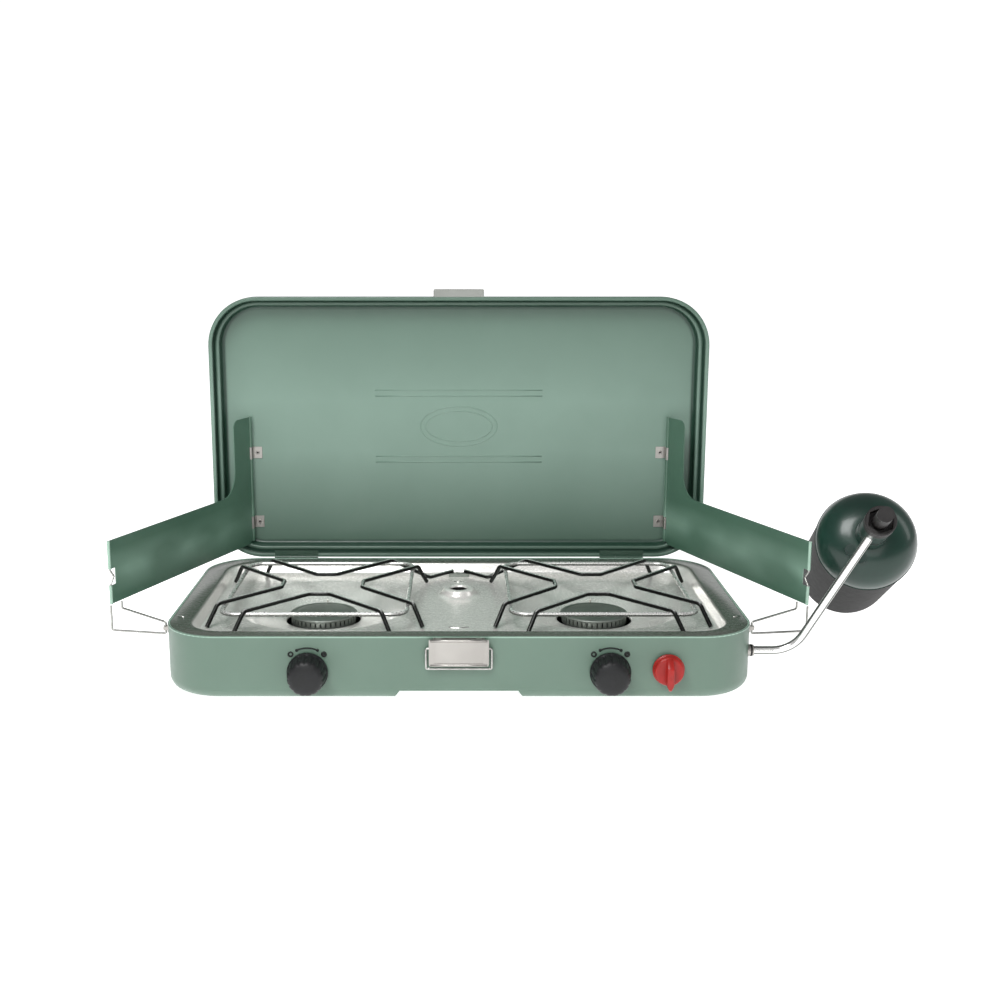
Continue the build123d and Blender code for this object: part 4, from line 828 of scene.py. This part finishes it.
def hollow_rivets():
    """Hollow rivets through the baffle clips, each with a black cup of painted shade in its bore."""
    bm = bmesh.new()
    low, high = box("clip_rivets")
    for side in SIDES:
        for z in (low.z + RIVET_R, high.z - RIVET_R):
            x = side * (high.x - RIVET_R)
            lathe(bm, in_mm(RIVET_SECTION), facing((x, high.y, z), AHEAD), 24)
            rim = Vector((x, high.y - RIVET_BORE_RIM, z))
            name = f"rivet_bore_{side}_{round(z / MM)}"
            shade_cup_in_hole(name, rim, RIVET_BORE_R, RIVET_BORE_DEPTH, AHEAD, "lid")
    publish("clip_hollow_rivets", bm, ZINC_STEEL, "lid", ["clip_rivets"])


def paint_faces(node, material, test):
    """Gives a second material to the faces of a carried-over node whose middle passes a test."""
    mesh = frame["nodes"][node].data
    mesh.materials.append(material)
    slot = len(mesh.materials) - 1
    for polygon in mesh.polygons:
        if test(polygon.center):
            polygon.material_index = slot


def loop_distance(x, y, half_x, half_y, corner):
    """How far a point is from the line of a rounded rectangle."""
    qx = max(abs(x) - (half_x - corner), 0)
    qy = max(abs(y) - (half_y - corner), 0)
    inside = min(max(abs(x) - half_x, abs(y) - half_y), 0)
    if qx == 0 and qy == 0:
        return abs(inside)
    return abs((qx * qx + qy * qy) ** 0.5 - corner)


GRATE_HALF = (94 * MM, 102 * MM)
GRATE_CORNER = 16 * MM
GRATE_LOOP_Z = (68.4 * MM, 73.1 * MM)
GRATE_WIRE_NEAR = 2.6 * MM


def paint_grates():
    """The loop wire of each grate takes the lighter painted reflections of chrome; the wires that carry the
    pans take the darker painted reflections.
    """
    for name, side in (("left_grate", -1), ("right_grate", 1)):
        # These faces take the darker painted reflections.
        def dark(point, middle=side * BURNER_X):
            away = loop_distance(point.x - middle, point.y, *GRATE_HALF, GRATE_CORNER)
            return away >= GRATE_WIRE_NEAR or not GRATE_LOOP_Z[0] < point.z < GRATE_LOOP_Z[1]
        paint_faces(name, PAN_WIRE, dark)


TANK_SEAM = Vector((CASE_HIGH.x + 117 * MM, CASE_LOW.y + 68 * MM, CASE_HIGH.z + 78.5 * MM))
TANK_AXIS = Vector((-0.155, -0.895, 0.417)).normalized()
SEAM_EDGE = -0.2 * MM


def paint_tank():
    """The tank is dark grey below its seam."""
    paint_faces("cylinder_tank", TANK_SIDE, lambda point: (point - TANK_SEAM).dot(TANK_AXIS) < SEAM_EDGE)


BAFFLE_HINGE_X = 250 * MM
BAFFLE_OUT = radians(21)
BAFFLE_HEM_START = 286.2 * MM  # from the hinge, along the baffle


def paint_baffles():
    """The folded edge at the free end of each baffle takes the lighter coat, a painted highlight along that
    edge.
    """
    for name, side in (("left_wind_baffle", -1), ("right_wind_baffle", 1)):
        start = Vector((side * BAFFLE_HINGE_X, box(name)[1].y, 0))
        out = Vector((side * sin(BAFFLE_OUT), -cos(BAFFLE_OUT), 0))
        paint_faces(name, EDGE_HIGHLIGHT_COAT, lambda point: (point - start).dot(out) > BAFFLE_HEM_START)


def finish_cad_nodes():
    """Gives every carried-over node the finish of its slot."""
    for entry in frame["record"]["subparts"]:
        node = frame["nodes"][entry["node"]]
        made = NODE_FINISHES.get(entry["node"], FINISHES[entry["material_slot"]])
        node.data.materials.clear()
        node.data.materials.append(made)


# ---- stage, light and camera ----------------------------------------------

def sky_value(tree, socket, low, high, first, last):
    """A smooth number between two ends of a direction's component."""
    inputs = {"Value": socket, "From Min": low, "From Max": high, "To Min": first, "To Max": last}
    return add(tree, "ShaderNodeMapRange", inputs, interpolation_type="SMOOTHSTEP").outputs["Result"]


FLOOR_HALF = 30


def make_floor():
    """A pale floor that gives off most of its own light, so that it stays white."""
    bm = bmesh.new()
    bmesh.ops.create_grid(bm, x_segments=1, y_segments=1, size=FLOOR_HALF)
    mesh = bpy.data.meshes.new("floor")
    bm.to_mesh(mesh)
    bm.free()
    floor = bpy.data.objects.new("floor", mesh)
    bpy.context.scene.collection.objects.link(floor)
    made, tree, where = start_material("pale_painted_floor")
    tone = blend_colours(tree, noise(tree, where, 400 * MM, 2), linear("#f4f4f3"), linear("#fafafa"))
    inputs = {"Base Color": tone, "Roughness": 0.9, "Emission Color": (1, 1, 1, 1), "Emission Strength": 0.9}
    mesh.materials.append(close_material(made, tree, inputs))


def make_studio():
    """Light from all round: bright and low behind the object, dimmer above and in front."""
    world = bpy.data.worlds.new("studio")
    bpy.context.scene.world = world
    world.use_nodes = True
    sky = world.node_tree
    sky.nodes.clear()
    direction = add(sky, "ShaderNodeTexCoord").outputs["Generated"]
    parts = add(sky, "ShaderNodeSeparateXYZ", {"Vector": direction}).outputs
    behind = sky_value(sky, parts["Y"], 0.45, 0.8, 0.0, 1.0)
    low = sky_value(sky, parts["Z"], 0.22, 0.42, 1.0, 0.0)
    share = add(sky, "ShaderNodeMath", {0: behind, 1: low}, operation="MULTIPLY").outputs[0]
    level = sky_value(sky, share, 0.0, 1.0, 0.3, 1.05)
    grey = add(sky, "ShaderNodeCombineColor", {"Red": level, "Green": level, "Blue": level})
    glow = add(sky, "ShaderNodeBackground", {"Color": grey.outputs["Color"], "Strength": 1.0})
    add(sky, "ShaderNodeOutputWorld", {"Surface": glow.outputs["Background"]})


def soft_box(name, place, aim, size, power):
    """A rectangular soft light that faces a point."""
    light = bpy.data.lights.new(name, "AREA")
    light.shape = "RECTANGLE"
    light.size, light.size_y = size
    light.energy = power
    lamp = bpy.data.objects.new(name, light)
    lamp.location = place
    lamp.rotation_euler = (Vector(aim) - Vector(place)).to_track_quat("-Z", "Y").to_euler()
    bpy.context.scene.collection.objects.link(lamp)


def make_lights():
    """A key light above, a wide weak one in front, and a small one on the right."""
    soft_box("key_light", (-0.42, -0.95, 1.3), (0.1, 0, 0.1), (0.8, 0.65), 20)
    soft_box("front_light", (0.0, -2.6, 0.9), (0, 0, 0.2), (1.8, 0.9), 10)
    soft_box("right_light", (1.9, -0.3, 1.0), (0.2, 0, 0.1), (0.4, 1.2), 4)


LENS = 46.23
SENSOR = 36
SHIFT = 0.04115
CAMERA_PLACE = (0, -1.3443, 0.4435)
CAMERA_DIP = 11.61  # degrees below level


def make_camera():
    """A level view from in front and a little above, through a normal lens."""
    data = bpy.data.cameras.new("camera")
    data.lens = LENS
    data.sensor_width = SENSOR
    data.shift_x = SHIFT
    camera = bpy.data.objects.new("camera", data)
    camera.location = CAMERA_PLACE
    camera.rotation_euler = (radians(90 - CAMERA_DIP), 0, 0)
    bpy.context.scene.collection.objects.link(camera)
    bpy.context.scene.camera = camera


make_camera()
make_floor()
make_studio()
make_lights()
finish_cad_nodes()
paint_grates()
paint_tank()
paint_baffles()
drip_tray()
tray_beads_and_tabs()
# A black cup of painted shade in the boss's bore.
shade_cup_in_hole("boss_bore_painted_shade", (0, BOSS_Y, FLOOR_Z + BOSS_BORE_RIM), BOSS_BORE_R, BOSS_BORE_DEPTH, UP, "case")
knob_marks()
wall_ring()
case_hem()
lid()
lid_emboss()
lever_beads()
hollow_rivets()
igniter_knob()
for cap_name in ("left_burner_cap", "right_burner_cap"):
    burner_cap(cap_name)
for side_name in ("left", "right"):
    burner_knob(side_name + "_burner_knob", side_name + "_knob")
bpy.context.scene.view_settings.view_transform = "Standard"
